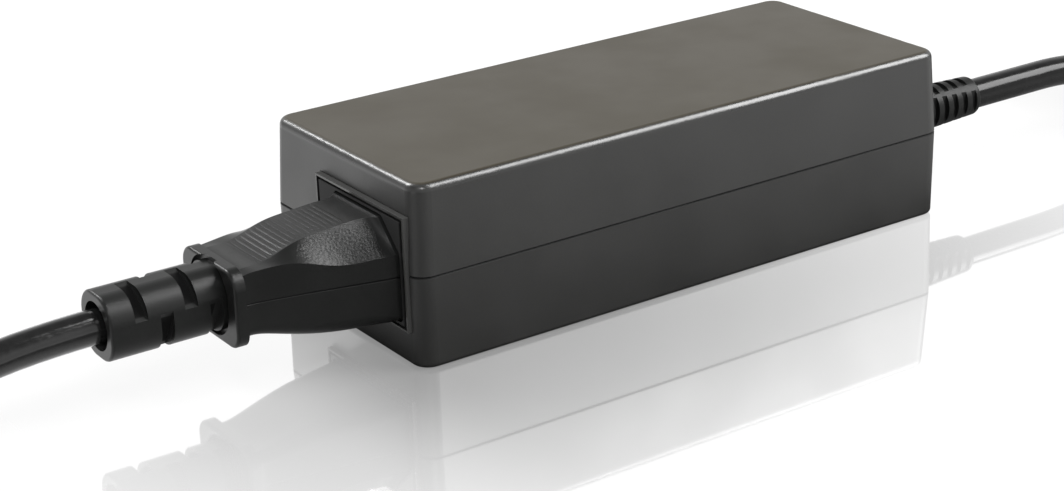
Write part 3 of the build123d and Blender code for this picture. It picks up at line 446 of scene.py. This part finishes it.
# %% The shape of one rib
def one_rib(graph, asked):
    """A bar along Y with a flattened round section and rounded ends."""
    half = asked["Length"] * 0.5
    near = graph.node("ShaderNodeCombineXYZ", values={"Y": half * -1.0})
    far = graph.node("ShaderNodeCombineXYZ", values={"Y": half})
    bar = graph.node("GeometryNodeCurvePrimitiveLine", values={"Start": near, "End": far})
    bar = graph.node("GeometryNodeResampleCurve", {"mode": "COUNT"}, {"Curve": bar, "Count": 11})
    reach = abs(graph.node("GeometryNodeSplineParameter") * 2.0 - 1.0)
    taper = (1.0 - reach.maths("POWER", 8.0) * 0.96).maths("SQRT")
    thick = taper * asked["Thickness"] * 0.5
    ring = graph.node("GeometryNodeCurvePrimitiveCircle", values={"Resolution": 10, "Radius": 1.0})
    sweep = {"Curve": bar, "Profile Curve": ring, "Scale": thick, "Fill Caps": True}
    rib = graph.node("GeometryNodeCurveToMesh", values=sweep)
    flatness = asked["Height"] * 2.0 / asked["Thickness"]
    squash = graph.node("ShaderNodeCombineXYZ", values={"X": 1.0, "Y": 1.0, "Z": flatness})
    rib = graph.node("GeometryNodeTransform", values={"Geometry": rib, "Scale": squash})
    return graph.node("GeometryNodeSetShadeSmooth", values={"Geometry": rib})


# %% A row of ribs as a node tree
RIB_INPUTS = {
    "Geometry": "NodeSocketGeometry",
    "Count": "NodeSocketInt",
    "Length": "NodeSocketFloat",
    "Thickness": "NodeSocketFloat",
    "Height": "NodeSocketFloat",
    "Finish": "NodeSocketMaterial",
}


def rib_tree():
    """Evenly spaced ribs across a line; each is half sunk into what the line lies on."""
    tree = bpy.data.node_groups.new("rib_row", "GeometryNodeTree")
    for name, kind in RIB_INPUTS.items():
        tree.interface.new_socket(name, in_out="INPUT", socket_type=kind)
    tree.interface.new_socket("Geometry", in_out="OUTPUT", socket_type="NodeSocketGeometry")
    graph = Graph(tree)
    given = graph.node("NodeGroupInput").socket.node
    asked = {name: Value(graph, given.outputs[name]) for name in RIB_INPUTS}

    line = graph.node("GeometryNodeMeshToCurve", values={"Mesh": asked["Geometry"]})
    spacing = {"Curve": line, "Count": asked["Count"]}
    evenly = graph.node("GeometryNodeResampleCurve", {"mode": "COUNT"}, spacing)
    heading = graph.node("GeometryNodeInputTangent")
    turned = graph.node("FunctionNodeAlignRotationToVector", {"axis": "X"}, {"Vector": heading})
    stand = {"Points": evenly, "Instance": one_rib(graph, asked), "Rotation": turned}
    row = graph.node("GeometryNodeInstanceOnPoints", values=stand)
    row = graph.node("GeometryNodeRealizeInstances", values={"Geometry": row})
    row = graph.node("GeometryNodeSetMaterial", values={"Geometry": row, "Material": asked["Finish"]})
    graph.plug(tree.nodes.new("NodeGroupOutput").inputs["Geometry"], row)
    return tree


RIB_TREE = rib_tree()
print("rib tree has", len(RIB_TREE.nodes), "nodes")


# %% Lay a row of ribs on a solid part
RAYS = 25  # how many points find the surface under a row
DROP = 20 * MM  # how far over the line each ray starts


def rib_row(name, node, start, end, down, finish, **sizes):
    """Ribs along the straight line from start to end, dropped onto a solid part in the direction down."""
    surface = BVHTree.FromObject(nodes[node], bpy.context.evaluated_depsgraph_get())
    start, end, down = Vector(start), Vector(end), Vector(down)
    stops = [start.lerp(end, number / (RAYS - 1)) for number in range(RAYS)]
    laid = [surface.ray_cast(stop - down * DROP, down)[0] for stop in stops]
    mesh = bpy.data.meshes.new(name)
    mesh.from_pydata(laid, [(n, n + 1) for n in range(RAYS - 1)], [])
    piece = bpy.data.objects.new(name, mesh)
    scene.collection.objects.link(piece)
    modifier = piece.modifiers.new("ribs", "NODES")
    modifier.node_group = RIB_TREE
    for label, value in {**sizes, "Finish": finish.material}.items():
        modifier[RIB_TREE.interface.items_tree[label].identifier] = value
    done = bpy.data.meshes.new_from_object(piece.evaluated_get(bpy.context.evaluated_depsgraph_get()))
    piece.modifiers.clear()
    piece.data = done
    done.name = name
    print(name, len(done.polygons), "faces")
    return piece


# %% The grip's ribs
CREST = 5.3 * MM  # half the width of the grip's flat top
grip_ribs = rib_row(
    "grip_ribs",
    "connector_body",
    (END_WALL - 21.6 * MM, INLET_Y, INLET_Z + 12 * MM),
    (END_WALL - 6.2 * MM, INLET_Y, INLET_Z + 12 * MM),
    (0, 0, -1),
    soft_finish,
    Count=18,
    Length=2 * CREST,
    Thickness=0.62 * MM,
    Height=0.034 * MM,
)
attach(grip_ribs, "ac_lead")

# %% [markdown]
# ## Cords
# A cord is one soft line with a round section. It could be a bent tube with straight runs and arcs, as a
# solid model has it, but real cord has no such even bends. It is drawn as one NURBS spline through a few
# listed points, which gives slow, uneven ones. What isn't in view is folded into a tied hank, as a
# new adapter's cords are: the turns lie on each other, a diameter apart, and a band holds the waist. One
# loop adds all the turns to the same spline, so each cord is one unbroken length that ends in its plug.
# A spline passes inside its points, so on an arc they stand off it by one over the cosine of half a step.


# %% The turns of a tied hank
FOLD_STEP, SIDE_STEP = 30, 22  # degrees between points, round the end folds and along the pinched sides
CLIMB = [0.0, 0.1, 0.35, 0.65, 0.9, 1.0, 1.0]  # how a turn rises onto the next, as shares of a diameter


def hank_turns(middle, sign, length, cord, waist, turns, band):
    """Points of a hank's turns, from the near side of its first fold; sign is where it lies along X.

    The folds are round and the sides hollow, pinched to the waist, where the band lifts them by its
    thickness. Each turn climbs onto the next in its last fold.
    """
    fold = 3.0 * cord + cord / 2
    centre = length / 2 - fold
    hollow = (centre**2 + waist**2 - fold**2) / (2 * (fold - waist))
    side = waist + hollow
    loop = (fold - cord / 2) / cos(radians(FOLD_STEP / 2))
    neck = (hollow + cord / 2) / cos(radians(SIDE_STEP / 2))
    pinch = (90 + SIDE_STEP, 90, 90 - SIDE_STEP)
    one_turn = [(-centre, 0, loop, angle, 0, 0) for angle in (-90, FOLD_STEP - 90)]
    one_turn += [(0, -side, neck, angle, 1, 0) for angle in pinch]
    one_turn += [(centre, 0, loop, angle, 0, 0) for angle in range(-120, 121, FOLD_STEP)]
    one_turn += [(0, side, neck, -angle, 1, 0) for angle in reversed(pinch)]
    last_fold = zip(range(60, 241, FOLD_STEP), CLIMB)
    one_turn += [(-centre, 0, loop, angle, 0, share) for angle, share in last_fold]
    points = []
    for turn in range(turns):
        for along, aside, radius, angle, lifted, rise in one_turn:
            x = middle[0] + sign * (along + radius * cos(radians(angle)))
            y = middle[1] + aside + radius * sin(radians(angle))
            points.append((x, y, cord / 2 + cord * (turn + rise) + band * lifted))
    return points


# %% A cord as a spline
def cord_piece(name, points, diameter, finish):
    """One open NURBS spline with a round section."""
    curve = bpy.data.curves.new(name, "CURVE")
    curve.dimensions = "3D"
    spline = curve.splines.new("NURBS")
    spline.points.add(len(points) - 1)
    for point, place in zip(spline.points, points):
        point.co = (*place, 1.0)
    spline.order_u = 3
    spline.use_endpoint_u = True
    spline.resolution_u = 8
    curve.bevel_depth = diameter / 2
    curve.bevel_resolution = 6
    curve.use_fill_caps = True
    curve.materials.append(finish.material)
    piece = bpy.data.objects.new(name, curve)
    scene.collection.objects.link(piece)
    print(name, len(points), "points")
    return piece


# %% [markdown]
# ## The cords' jacket
# The jacket is smooth extruded PVC, glossier than anything moulded here. It shows the softboxes as long
# clean streaks. A perfectly even tube would show them as ruled lines, so a faint waviness is added, which
# a real jacket has from being drawn over twisted cores. It could be modelled, but a bump does as well at
# a tenth of a millimetre. The output cord's jacket is of a duller grade than the mains cord's.


# %% The jackets' finish
def cord_jacket(name, shine):
    """Smooth extruded PVC. The shine says how strongly it mirrors."""
    jacket = Finish(name)
    drawn = jacket.noise(6 * MM, 1.0)
    scuffs = jacket.noise(1.2 * MM, 4.0, 0.6)
    jacket.set(
        Base_Color=jacket.blend(grey(0.004), grey(0.008), scuffs),
        Roughness=jacket.ramp(scuffs, 0.35, 0.75, 0.12, 0.2),
        Normal=jacket.relief(drawn, 0.12 * MM),
        Specular_IOR_Level=shine,
    )
    print(name, "ready, with", len(jacket.tree.nodes), "nodes")
    return jacket


mains_jacket = cord_jacket("mains_jacket", 0.5)
output_jacket = cord_jacket("output_jacket", 0.12)

# %% [markdown]
# ## The two cords
# The mains cord comes straight out of the connector's strain relief, sinks to the table and runs into its
# hank. From the top of the hank it rises to the mains plug, which lies on it. The output cord does the
# same at the other end, and ends in the round plug that goes into the laptop. A simulated cord would
# settle somewhere near, but its plug is a solid part with a fixed place. So the routes are the solid
# model's own, and each spline ends where its plug is.

# %% The mains lead's cord
MAINS_CORD = 0.0055
mains_points = [
    (-0.0988, -0.0068, 0.0153),
    (-0.118, -0.0068, 0.0153),
    (-0.133, -0.0088, 0.0108),
    (-0.148, -0.0120, 0.0049),
]
mains_points += hank_turns((-0.197, 0.002), -1, 0.110, MAINS_CORD, 0.0060, 3, 0.0008)
mains_points += [
    (-0.163, -0.0144, 0.02005),
    (-0.176, -0.0136, 0.0215),
    (-0.188, -0.0095, 0.0256),
    (-0.200, -0.0040, 0.0293),
    (-0.212, -0.0040, 0.0293),
]
mains_line = cord_piece("mains_cord", mains_points, MAINS_CORD, mains_jacket)
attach(mains_line, "ac_lead")
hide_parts("ac_cord", "ac_cord_hank", "ac_cord_tail")

# %% The output cord
OUTPUT_CORD = 0.0055
output_points = [
    (0.0711, -0.0122, 0.0158),
    (0.0845, -0.0122, 0.0158),
    (0.098, -0.0122, 0.0158),
    (0.115, -0.0140, 0.0132),
    (0.128, -0.0178, 0.0069),
]
output_points += hank_turns((0.1685, -0.005), 1, 0.092, OUTPUT_CORD, 0.0056, 5, 0.0008)
output_points += [
    (0.138, -0.0211, 0.03105),
    (0.149, -0.0202, 0.0315),
    (0.1585, -0.0166, 0.0327),
    (0.1675, -0.0116, 0.0336),
    (0.1765, -0.0116, 0.0336),
]
output_line = cord_piece("output_cord", output_points, OUTPUT_CORD, output_jacket)
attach(output_line, "adapter")
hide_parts("dc_cord", "dc_cord_hank", "dc_cord_tail")

# %% [markdown]
# ## The bands
# The two hanks are held by flat rubber bands with fine cross ribs. Ribs this fine needn't be modelled one
# by one: they are a cosine of the place along the cord, turned into a bump. Dust shows on rubber as a
# paler, drier film, so one noise moves both the colour and the roughness.


# %% The bands' finish
def ribbed_rubber():
    """Matt black rubber with cross ribs and a film of dust."""
    finish = Finish("rubber_band")
    ribs = (finish.x * (2 * pi / (0.9 * MM))).maths("COSINE")
    dust = finish.noise(2 * MM, 4.0, 0.6)
    finish.set(
        Base_Color=finish.blend(grey(0.01), rgb(0.022, 0.021, 0.020), dust),
        Roughness=finish.ramp(dust, 0.3, 0.7, 0.5, 0.62),
        Normal=finish.relief(ribs, 0.06 * MM),
    )
    return finish


dress(ribbed_rubber(), "ac_cord_tie", "dc_cord_tie")

# %% [markdown]
# ## Metals
# Contacts are brass or copper with bright nickel over it, drawn and stamped, so they carry fine lines
# along their length. Heatsinks and heat spreaders are rolled aluminium, softer and greyer, and the screws
# are zinc plated steel. A shader has a setting that smears reflections along such lines, but it needs a
# direction on every face. Stretching a noise gives lines that can be seen: a noise whose place is
# squeezed along X changes slowly that way and fast across.


# %% Drawn and rolled metal
def metal(name, color, roughness, depth, stretch=(0.04, 1.0, 1.0), lines=0.15 * MM):
    """Metal with fine lines along the axis that is stretched."""
    finish = Finish(name)
    drawn_lines = finish.noise(lines, 3.0, 0.6, stretch)
    breath = finish.noise(5 * MM, 3.0)
    finish.set(
        Base_Color=finish.blend(shade(color, 0.86), color, finish.ramp(breath, 0.3, 0.65)),
        Metallic=1.0,
        Roughness=finish.ramp(drawn_lines, 0.25, 0.75, roughness - 0.06, roughness + 0.08),
        Normal=finish.relief(drawn_lines, depth),
    )
    return finish


nickel = metal("nickel_plate", rgb(0.72, 0.69, 0.62), 0.22, 0.004 * MM)
rolled = metal("rolled_aluminium", rgb(0.76, 0.77, 0.78), 0.36, 0.006 * MM, lines=0.3 * MM)
zinc = metal("zinc_plate", rgb(0.62, 0.64, 0.67), 0.3, 0.004 * MM, (1.0, 0.04, 1.0))
dress(nickel, "ac_inlet_pins", "ac_inlet_earth_pin", "connector_contacts", "mains_plug_blades")
dress(nickel, "mains_plug_earth_pin", "dc_plug_barrel", "dc_plug_centre", "fuse_clips")
dress(rolled, "bottom_heat_spreader", "top_heat_spreader", "primary_heatsink", "secondary_heatsink")
dress(zinc, "heatsink_screws")

# %% [markdown]
# ## The circuit board
# The board is woven glass in epoxy under a green mask. Wide copper areas lie under the mask and show as
# paler green with clean borders, the weave shows as a fine cross hatch, and the cut edges are bare
# straw-coloured laminate. A drawn track layout would be more exact, but would only be seen with the case
# open. So a noise cut off sharply stands for the copper, and the faces' own direction tells the edges
# from the two sides.

# %% The board's finish
BOARD_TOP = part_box("main_board")[1][2]
WEAVE = 2 * pi / (0.55 * MM)


def green_mask():
    """A board: copper under the mask, a glass weave and bare edges."""
    finish = Finish("green_mask")
    weave = (finish.x * WEAVE).maths("COSINE") * (finish.y * WEAVE).maths("COSINE")
    copper = finish.past(finish.noise(7 * MM, 0.0), 0.49, 0.01)
    mask = finish.blend(rgb(0.010, 0.055, 0.022), rgb(0.02, 0.12, 0.045), copper)
    normal = finish.node("ShaderNodeNewGeometry", output="Normal")
    upwards = finish.node("ShaderNodeSeparateXYZ", values={0: normal}, output=2)
    edge = finish.until(abs(upwards), 0.4, 0.2)
    finish.set(
        Base_Color=finish.blend(mask, rgb(0.35, 0.3, 0.16), edge),
        Roughness=finish.ramp(edge, 0.0, 1.0, 0.24, 0.7),
        Normal=finish.relief(copper + weave * 0.12, 0.035 * MM),
    )
    return finish


dress(green_mask(), "main_board")
print("the board's top is at", round(BOARD_TOP, 4))

# %% [markdown]
# ## Parts on the board
# Most of these are plain mouldings or dipped discs on tinned leads. Each lead belongs to the same solid as
# its body, so one finish has to be both. Splitting the solid would need a second material slot and a cut
# in its mesh. A mask is simpler: the finish turns to tin by place, below the body's foot, or behind it
# for a part that lies on its side.

# %% Where a part is tinned
SOFT = 0.05 * MM  # how gradually a body gives way to tin


def below(height):
    """A part that stands: all below this height is tinned."""
    return lambda finish: finish.until(finish.z, height, SOFT)


def behind(depth):
    """A part that lies: all behind this depth is tinned."""
    return lambda finish: finish.until(finish.y, depth - SOFT, SOFT)


def tabbed(face, foot):
    """A power device: its metal tab lies against the heatsink, and its legs are under it."""
    return lambda finish: finish.ramp(finish.past(finish.y, face, SOFT) + below(foot)(finish), 0.0, 1.0)


def ended(node, axis, reach):
    """A part whose two ends along an axis are metal, this far in."""
    low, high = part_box(node)
    middle = (low[axis] + high[axis]) / 2
    half = (high[axis] - low[axis]) / 2 - reach
    return lambda finish: finish.past(abs((finish.x, finish.y, finish.z)[axis] - middle), half, SOFT)


# %% Mouldings and dipped discs
DISC_FOOT = BOARD_TOP + 1.5 * MM
TAB = 1.3 * MM
LEGS = 0.8 * MM
EPOXY = rgb(0.016, 0.016, 0.017)
leads, dipped = below(BOARD_TOP), below(DISC_FOOT)
film_box = moulded("yellow_box", rgb(0.62, 0.42, 0.045), 0.34, 0.5 * MM, mottle=0.05, tin=leads)
epoxy = moulded("black_epoxy", EPOXY, 0.46, 0.25 * MM, tin=leads)
green_disc = moulded("green_dip", rgb(0.02, 0.085, 0.035), 0.26, 1.2 * MM, 0.05 * MM, tin=dipped)
blue_disc = moulded("blue_dip", rgb(0.02, 0.1, 0.33), 0.24, 1.2 * MM, 0.05 * MM, tin=dipped)
bobbin = moulded("bobbin_resin", rgb(0.012, 0.012, 0.011), 0.42, 0.5 * MM, tin=leads)
tape = moulded("polyester_tape", rgb(0.7, 0.42, 0.03), 0.2, 0.9 * MM, 0.02 * MM, 0.08)
yellow = moulded("yellow_collar", rgb(0.65, 0.42, 0.02), 0.3, 0.4 * MM, 0.01 * MM, 0.05)
dress(film_box, "x_capacitor")
dress(epoxy, "bridge_rectifier")
dress(green_disc, "inrush_thermistor")
dress(blue_disc, "surge_varistor", "y_capacitor")
dress(bobbin, "transformer_bobbin")
dress(tape, "transformer_winding")
dress(yellow, "dc_plug_insulator")
for name in ("switching_transistor", "rectifier_diode"):
    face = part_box(name)[1][1] - TAB
    dress(moulded(name + "_finish", EPOXY, 0.46, tin=tabbed(face, DISC_FOOT)), name)
for name in ("controller_chip", "optocoupler"):
    dress(moulded(name + "_finish", EPOXY, 0.46, tin=ended(name, 1, LEGS)), name)

# %% [markdown]
# ## Ferrite and copper
# Cores are pressed and fired ferrite: dark grey, dry, with the odd light chip. Windings are enamelled
# copper wire. Turning a real wire round each core would take a hundred thousand triangles that the case
# hides. Each winding is one solid jacket instead, and the finish draws the turns: the angle round the
# core's axis, times the number of turns, goes through a cosine, whose rounded crests are the wires and
# whose valleys are painted dark, as the shade between the turns.


# %% Ferrite
def fired_ferrite():
    """Dry dark grey, with a few light chips."""
    finish = Finish("fired_ferrite")
    grains = finish.noise(0.35 * MM, 4.0, 0.7)
    chips = finish.past(finish.noise(2.2 * MM, 5.0, 0.75), 0.66, 0.04)
    dark = finish.blend(rgb(0.022, 0.022, 0.024), rgb(0.045, 0.045, 0.047), grains)
    finish.set(
        Base_Color=finish.blend(dark, grey(0.12), chips),
        Roughness=finish.ramp(grains, 0.3, 0.7, 0.5, 0.68),
        Normal=finish.relief(grains, 0.03 * MM),
    )
    return finish


dress(fired_ferrite(), "common_mode_core", "transformer_core", "output_choke")


# %% Copper windings
def wound(name, node, axis, turns):
    """Turns of enamelled wire round a ring core, whose axis is Y or Z."""
    low, high = (Vector(corner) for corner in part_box(node))
    middle = (low + high) / 2
    finish = Finish(name)
    other = finish.y - middle.y if axis == "Z" else finish.z - middle.z
    angle = other.maths("ARCTAN2", finish.x - middle.x)
    crest = (angle * float(turns)).maths("COSINE") * 0.5 + 0.5
    lacquer = finish.noise(1.5 * MM, 2.0)
    wire = finish.blend(rgb(0.42, 0.13, 0.035), rgb(0.6, 0.22, 0.06), lacquer)
    finish.set(
        # The valleys between the turns are painted dark, as painted shade.
        Base_Color=finish.blend(rgb(0.03, 0.012, 0.006), wire, finish.ramp(crest, 0.02, 0.3)),
        Metallic=finish.ramp(crest, 0.02, 0.3, 0.0, 0.85),
        Roughness=finish.ramp(crest, 0.0, 1.0, 0.5, 0.24),
        Normal=finish.relief(crest.maths("SQRT"), 0.3 * MM),
    )
    dress(finish, node)


wound("mains_choke_wire", "common_mode_winding", "Z", 44)
wound("output_choke_wire", "output_choke_winding", "Y", 22)


# %% [markdown]
# ## Capacitor cans
# An electrolytic capacitor is an aluminium can in a shrunk sleeve that leaves its end bare. A pale stripe
# down one side marks its minus lead. The sleeve could be a second shell over the can, but it is as thin
# as paper, so sleeve, bare end and stripe are one surface whose masks go by place.


# %% The sleeved cans
def can(name, node, stripe, bare, tin):
    """A sleeved can; stripe, bare and tin each give a share of the surface from the finish."""
    finish = Finish(name)
    shrink = finish.noise(2.5 * MM, 2.0)
    sleeve = finish.blend(rgb(0.009, 0.011, 0.02), rgb(0.014, 0.017, 0.03), shrink)
    sleeve = finish.blend(sleeve, rgb(0.5, 0.52, 0.54), stripe(finish))
    metal_share = finish.ramp(bare(finish) + tin(finish), 0.0, 1.0)
    finish.set(
        Base_Color=finish.blend(sleeve, TIN, metal_share),
        Metallic=metal_share,
        Roughness=finish.ramp(metal_share, 0.0, 1.0, 0.22, 0.34),
        Normal=finish.relief(shrink, 0.05 * MM),
    )
    dress(finish, node)


# %% The two kinds of can
bulk_low, bulk_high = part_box("bulk_capacitor")
out_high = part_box("output_capacitors")[1]
CAN = 26 * MM  # the large can's length
END = 0.15 * MM  # how deep the bare end reaches
can(
    "bulk_can",
    "bulk_capacitor",
    lambda finish: finish.until(finish.x, bulk_low[0] + 0.9 * MM, 0.1 * MM),
    lambda finish: finish.past(finish.y, bulk_high[1] - END, SOFT),
    behind(bulk_high[1] - CAN),
)
can(
    "output_cans",
    "output_capacitors",
    lambda finish: finish.past(finish.x, out_high[0] - 0.5 * MM, SOFT),
    lambda finish: finish.past(finish.z, out_high[2] - END, SOFT),
    below(BOARD_TOP),
)

# %% [markdown]
# ## The small things
# What is left is the fuse with its nickel caps, the coloured wires, the film and the thermal pad. The
# inlet's three wires are one solid group, so place picks each one's colour: brown and blue at the sides
# for line and neutral, and green for the earth between them. The film is a grained sheet, and the pad is
# silicone full of ceramic powder, which cells half a millimetre across stand for. Each could be a picture
# of the real stuff, but at this size a formula with the right grain looks the same.

# %% The fuse
CAP = 5 * MM
fuse_finish = moulded(
    "ceramic_fuse", rgb(0.68, 0.65, 0.56), 0.3, 0.6 * MM, 0.01 * MM, 0.05, tin=ended("fuse", 0, CAP)
)
dress(fuse_finish, "fuse")


# %% Coloured wires
def wires(name, node, first, second, between=None):
    """A group of jacketed wires side by side along Y."""
    low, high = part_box(node)
    middle, sixth = (low[1] + high[1]) / 2, (high[1] - low[1]) / 6
    finish = Finish(name)
    nap = finish.noise(1.0 * MM, 2.0)
    color = finish.blend(first, second, finish.past(finish.y, middle - 0.01 * MM, 0.02 * MM))
    if between:
        centred = finish.until(abs(finish.y - middle), sixth, 0.01 * MM)
        color = finish.blend(color, between, centred)
    finish.set(
        Base_Color=finish.blend(color, grey(0.6), nap * 0.06),
        Roughness=finish.ramp(nap, 0.3, 0.7, 0.32, 0.42),
        Normal=finish.relief(nap, 0.03 * MM),
    )
    dress(finish, node)


BROWN, BLUE, GREEN = rgb(0.09, 0.03, 0.012), rgb(0.01, 0.05, 0.3), rgb(0.05, 0.3, 0.03)
BLACK, RED = grey(0.012), rgb(0.4, 0.012, 0.01)
wires("mains_wires", "inlet_wires", BROWN, BLUE, GREEN)
wires("low_volt_wires", "output_wires", BLACK, RED)


# %% The insulating film and the thermal pad
def filled_silicone():
    """Soft blue-grey silicone, full of powder."""
    finish = Finish("silicone_pad")
    filler = finish.grit(0.5 * MM)
    finish.set(
        Base_Color=finish.blend(rgb(0.36, 0.42, 0.5), rgb(0.24, 0.3, 0.38), finish.ramp(filler, 0.1, 0.5)),
        Roughness=finish.ramp(filler, 0.0, 0.6, 0.7, 0.85),
        Normal=finish.relief(filler, 0.04 * MM),
    )
    return finish


film = moulded("insulating_film", rgb(0.03, 0.03, 0.033), 0.5, 0.25 * MM, 0.02 * MM, 0.25)
dress(film, "insulating_sheet")
dress(filled_silicone(), "thermal_pad")

# %% [markdown]
# ## The stage
# The adapter stands on a white glossy floor that fades into a white background. One glossy material would
# mirror the whole adapter down to its far end, so three looks are mixed. To the camera the floor is a plain
# white that keeps a soft shadow. Over it lies a mirror that is strong beside the case and dies away
# further out. The third is a painted glow that only reflections see, so what the plastic mirrors of the
# floor is painted light and shade, and it is not even: right beside the case it is painted dark, standing
# for the shade there, and further out it is painted bright past the inlet's end and at the far right, and
# dim in between. That painted reflection gives the end wall its light grey and the long side its slow
# change of tone.

# %% The floor's finish
GLOW_X, GLOW_Y = -0.557, 0.83  # the direction across which the glow changes


def white_floor():
    """Plain white with a fading mirror; reflections see a painted glow, brighter at both ends and dark
    beside the case.
    """
    finish = Finish("white_floor")
    # The mirror fades with the distance from the case, and towards its far and near ends.
    out_x = (abs(finish.x) - CASE_X).maths("MAXIMUM", 0.0)
    out_y = (abs(finish.y) - CASE_Y).maths("MAXIMUM", 0.0)
    away = (out_x * out_x + out_y * out_y).maths("SQRT")
    mirror = finish.ramp(away, 0.0, 110 * MM, 0.7, 0.07)
    mirror = mirror * finish.ramp(finish.x, -30 * MM, 80 * MM, 1.0, 0.4)
    mirror = mirror * finish.ramp(finish.x, -80 * MM, -50 * MM, 0.65, 1.0)
    # The painted glow is what reflections see: painted light far out on both sides, painted shade right
    # beside the case.
    across = finish.x * GLOW_X + finish.y * GLOW_Y
    right_painted_glow = finish.ramp(across, -120 * MM, -45 * MM, 1.35, 0.25)
    left_painted_glow = finish.ramp(across, 5 * MM, 80 * MM, 0.0, 1.45)
    painted_glow = (right_painted_glow + left_painted_glow) * finish.ramp(away, 0.0, 15 * MM, 0.1, 1.0)

    # The camera sees four fifths plain white and one fifth matt, which is what holds the shadow.
    seen = finish.node("ShaderNodeLightPath", output="Is Camera Ray")
    shiny = finish.node("ShaderNodeLightPath", output="Is Glossy Ray")
    # To reflections the floor shines with the painted glow: painted light and painted shade.
    white = {"Color": grey(1.0), "Strength": seen + shiny * painted_glow}
    white = finish.node("ShaderNodeEmission", values=white)
    matt = finish.node("ShaderNodeBsdfDiffuse", values={"Color": grey(0.5)})
    glossy = finish.node("ShaderNodeBsdfGlossy", values={"Color": grey(1.0), "Roughness": 0.04})
    plain = finish.node("ShaderNodeMixShader", values={0: seen * 0.8 + shiny, 1: matt, 2: white})
    shown = finish.node("ShaderNodeMixShader", values={0: mirror * seen, 1: plain, 2: glossy})
    finish.plug(finish.tree.nodes["Material Output"].inputs["Surface"], shown)
    return finish


# %% The floor
HALF_FLOOR = 3.0
corners = [(-1, -1), (1, -1), (1, 1), (-1, 1)]
mesh = bpy.data.meshes.new("floor")
mesh.from_pydata([(x * HALF_FLOOR, y * HALF_FLOOR, 0) for x, y in corners], [], [(0, 1, 2, 3)])
mesh.materials.append(white_floor().material)
floor = bpy.data.objects.new("floor", mesh)
floor.location.z = cad_box[0][2] - 0.05 * MM
scene.collection.objects.link(floor)
print("floor at", round(floor.location.z, 5))

# %% [markdown]
# ## Light
# The world is plain white to the camera, and in reflections it is the same white near the horizon and
# falls off overhead, as a white sweep under a dark ceiling does. As light it is a little dimmer, so that
# the plastics keep their depth. One big lamp overhead would light the adapter too, but would leave its
# edges dull. The front and rear softboxes stand where the long and the short edge of the case's top
# mirror them, as a bright line along each. The near one gives the connector its shape, and a small one
# over the mains cord draws the streak along its jacket.

# %% The world
AMBIENT = 0.7  # the world's strength as light
world = bpy.data.worlds.new("studio")
scene.world = world
world.use_nodes = True
sky = Graph(world.node_tree)
ray = sky.node("ShaderNodeLightPath").socket.node
through = Value(sky, ray.outputs["Is Transmission Ray"])
plain_sight = Value(sky, ray.outputs["Is Camera Ray"]).maths("MAXIMUM", through)
mirrored = Value(sky, ray.outputs["Is Glossy Ray"])
towards = sky.node("ShaderNodeTexCoord", output="Generated")
overhead = sky.node("ShaderNodeSeparateXYZ", values={0: towards}, output=2)
falling = sky.ramp(overhead, 0.4, 0.8, 1.0, 0.2)
lit = AMBIENT + plain_sight * (1.0 - AMBIENT)
backdrop = world.node_tree.nodes["Background"]
backdrop.inputs["Color"].default_value = grey(1.0)
sky.plug(backdrop.inputs["Strength"], lit + mirrored * (falling - AMBIENT))
print("the world lights at", AMBIENT)


# %% The softboxes
def softbox(name, direction, size, power):
    """A square lamp a metre off that faces the adapter."""
    lamp = bpy.data.lights.new(name, "AREA")
    lamp.shape = "SQUARE"
    lamp.size = size
    lamp.energy = power
    piece = bpy.data.objects.new(name, lamp)
    piece.location = Vector(direction).normalized()
    piece.rotation_euler = piece.location.to_track_quat("Z", "Y").to_euler()
    scene.collection.objects.link(piece)
    print(name, size, "m wide,", power, "W")


softbox("front_softbox", (0.63, -0.42, 0.65), 0.6, 22.0)
softbox("rear_softbox", (-0.3, 0.68, 0.67), 0.32, 9.0)
softbox("near_softbox", (-0.34, -0.59, 0.73), 0.25, 4.5)
softbox("cord_softbox", (0.31, -0.24, 0.92), 0.1, 1.5)
scene.view_settings.view_transform = "Standard"
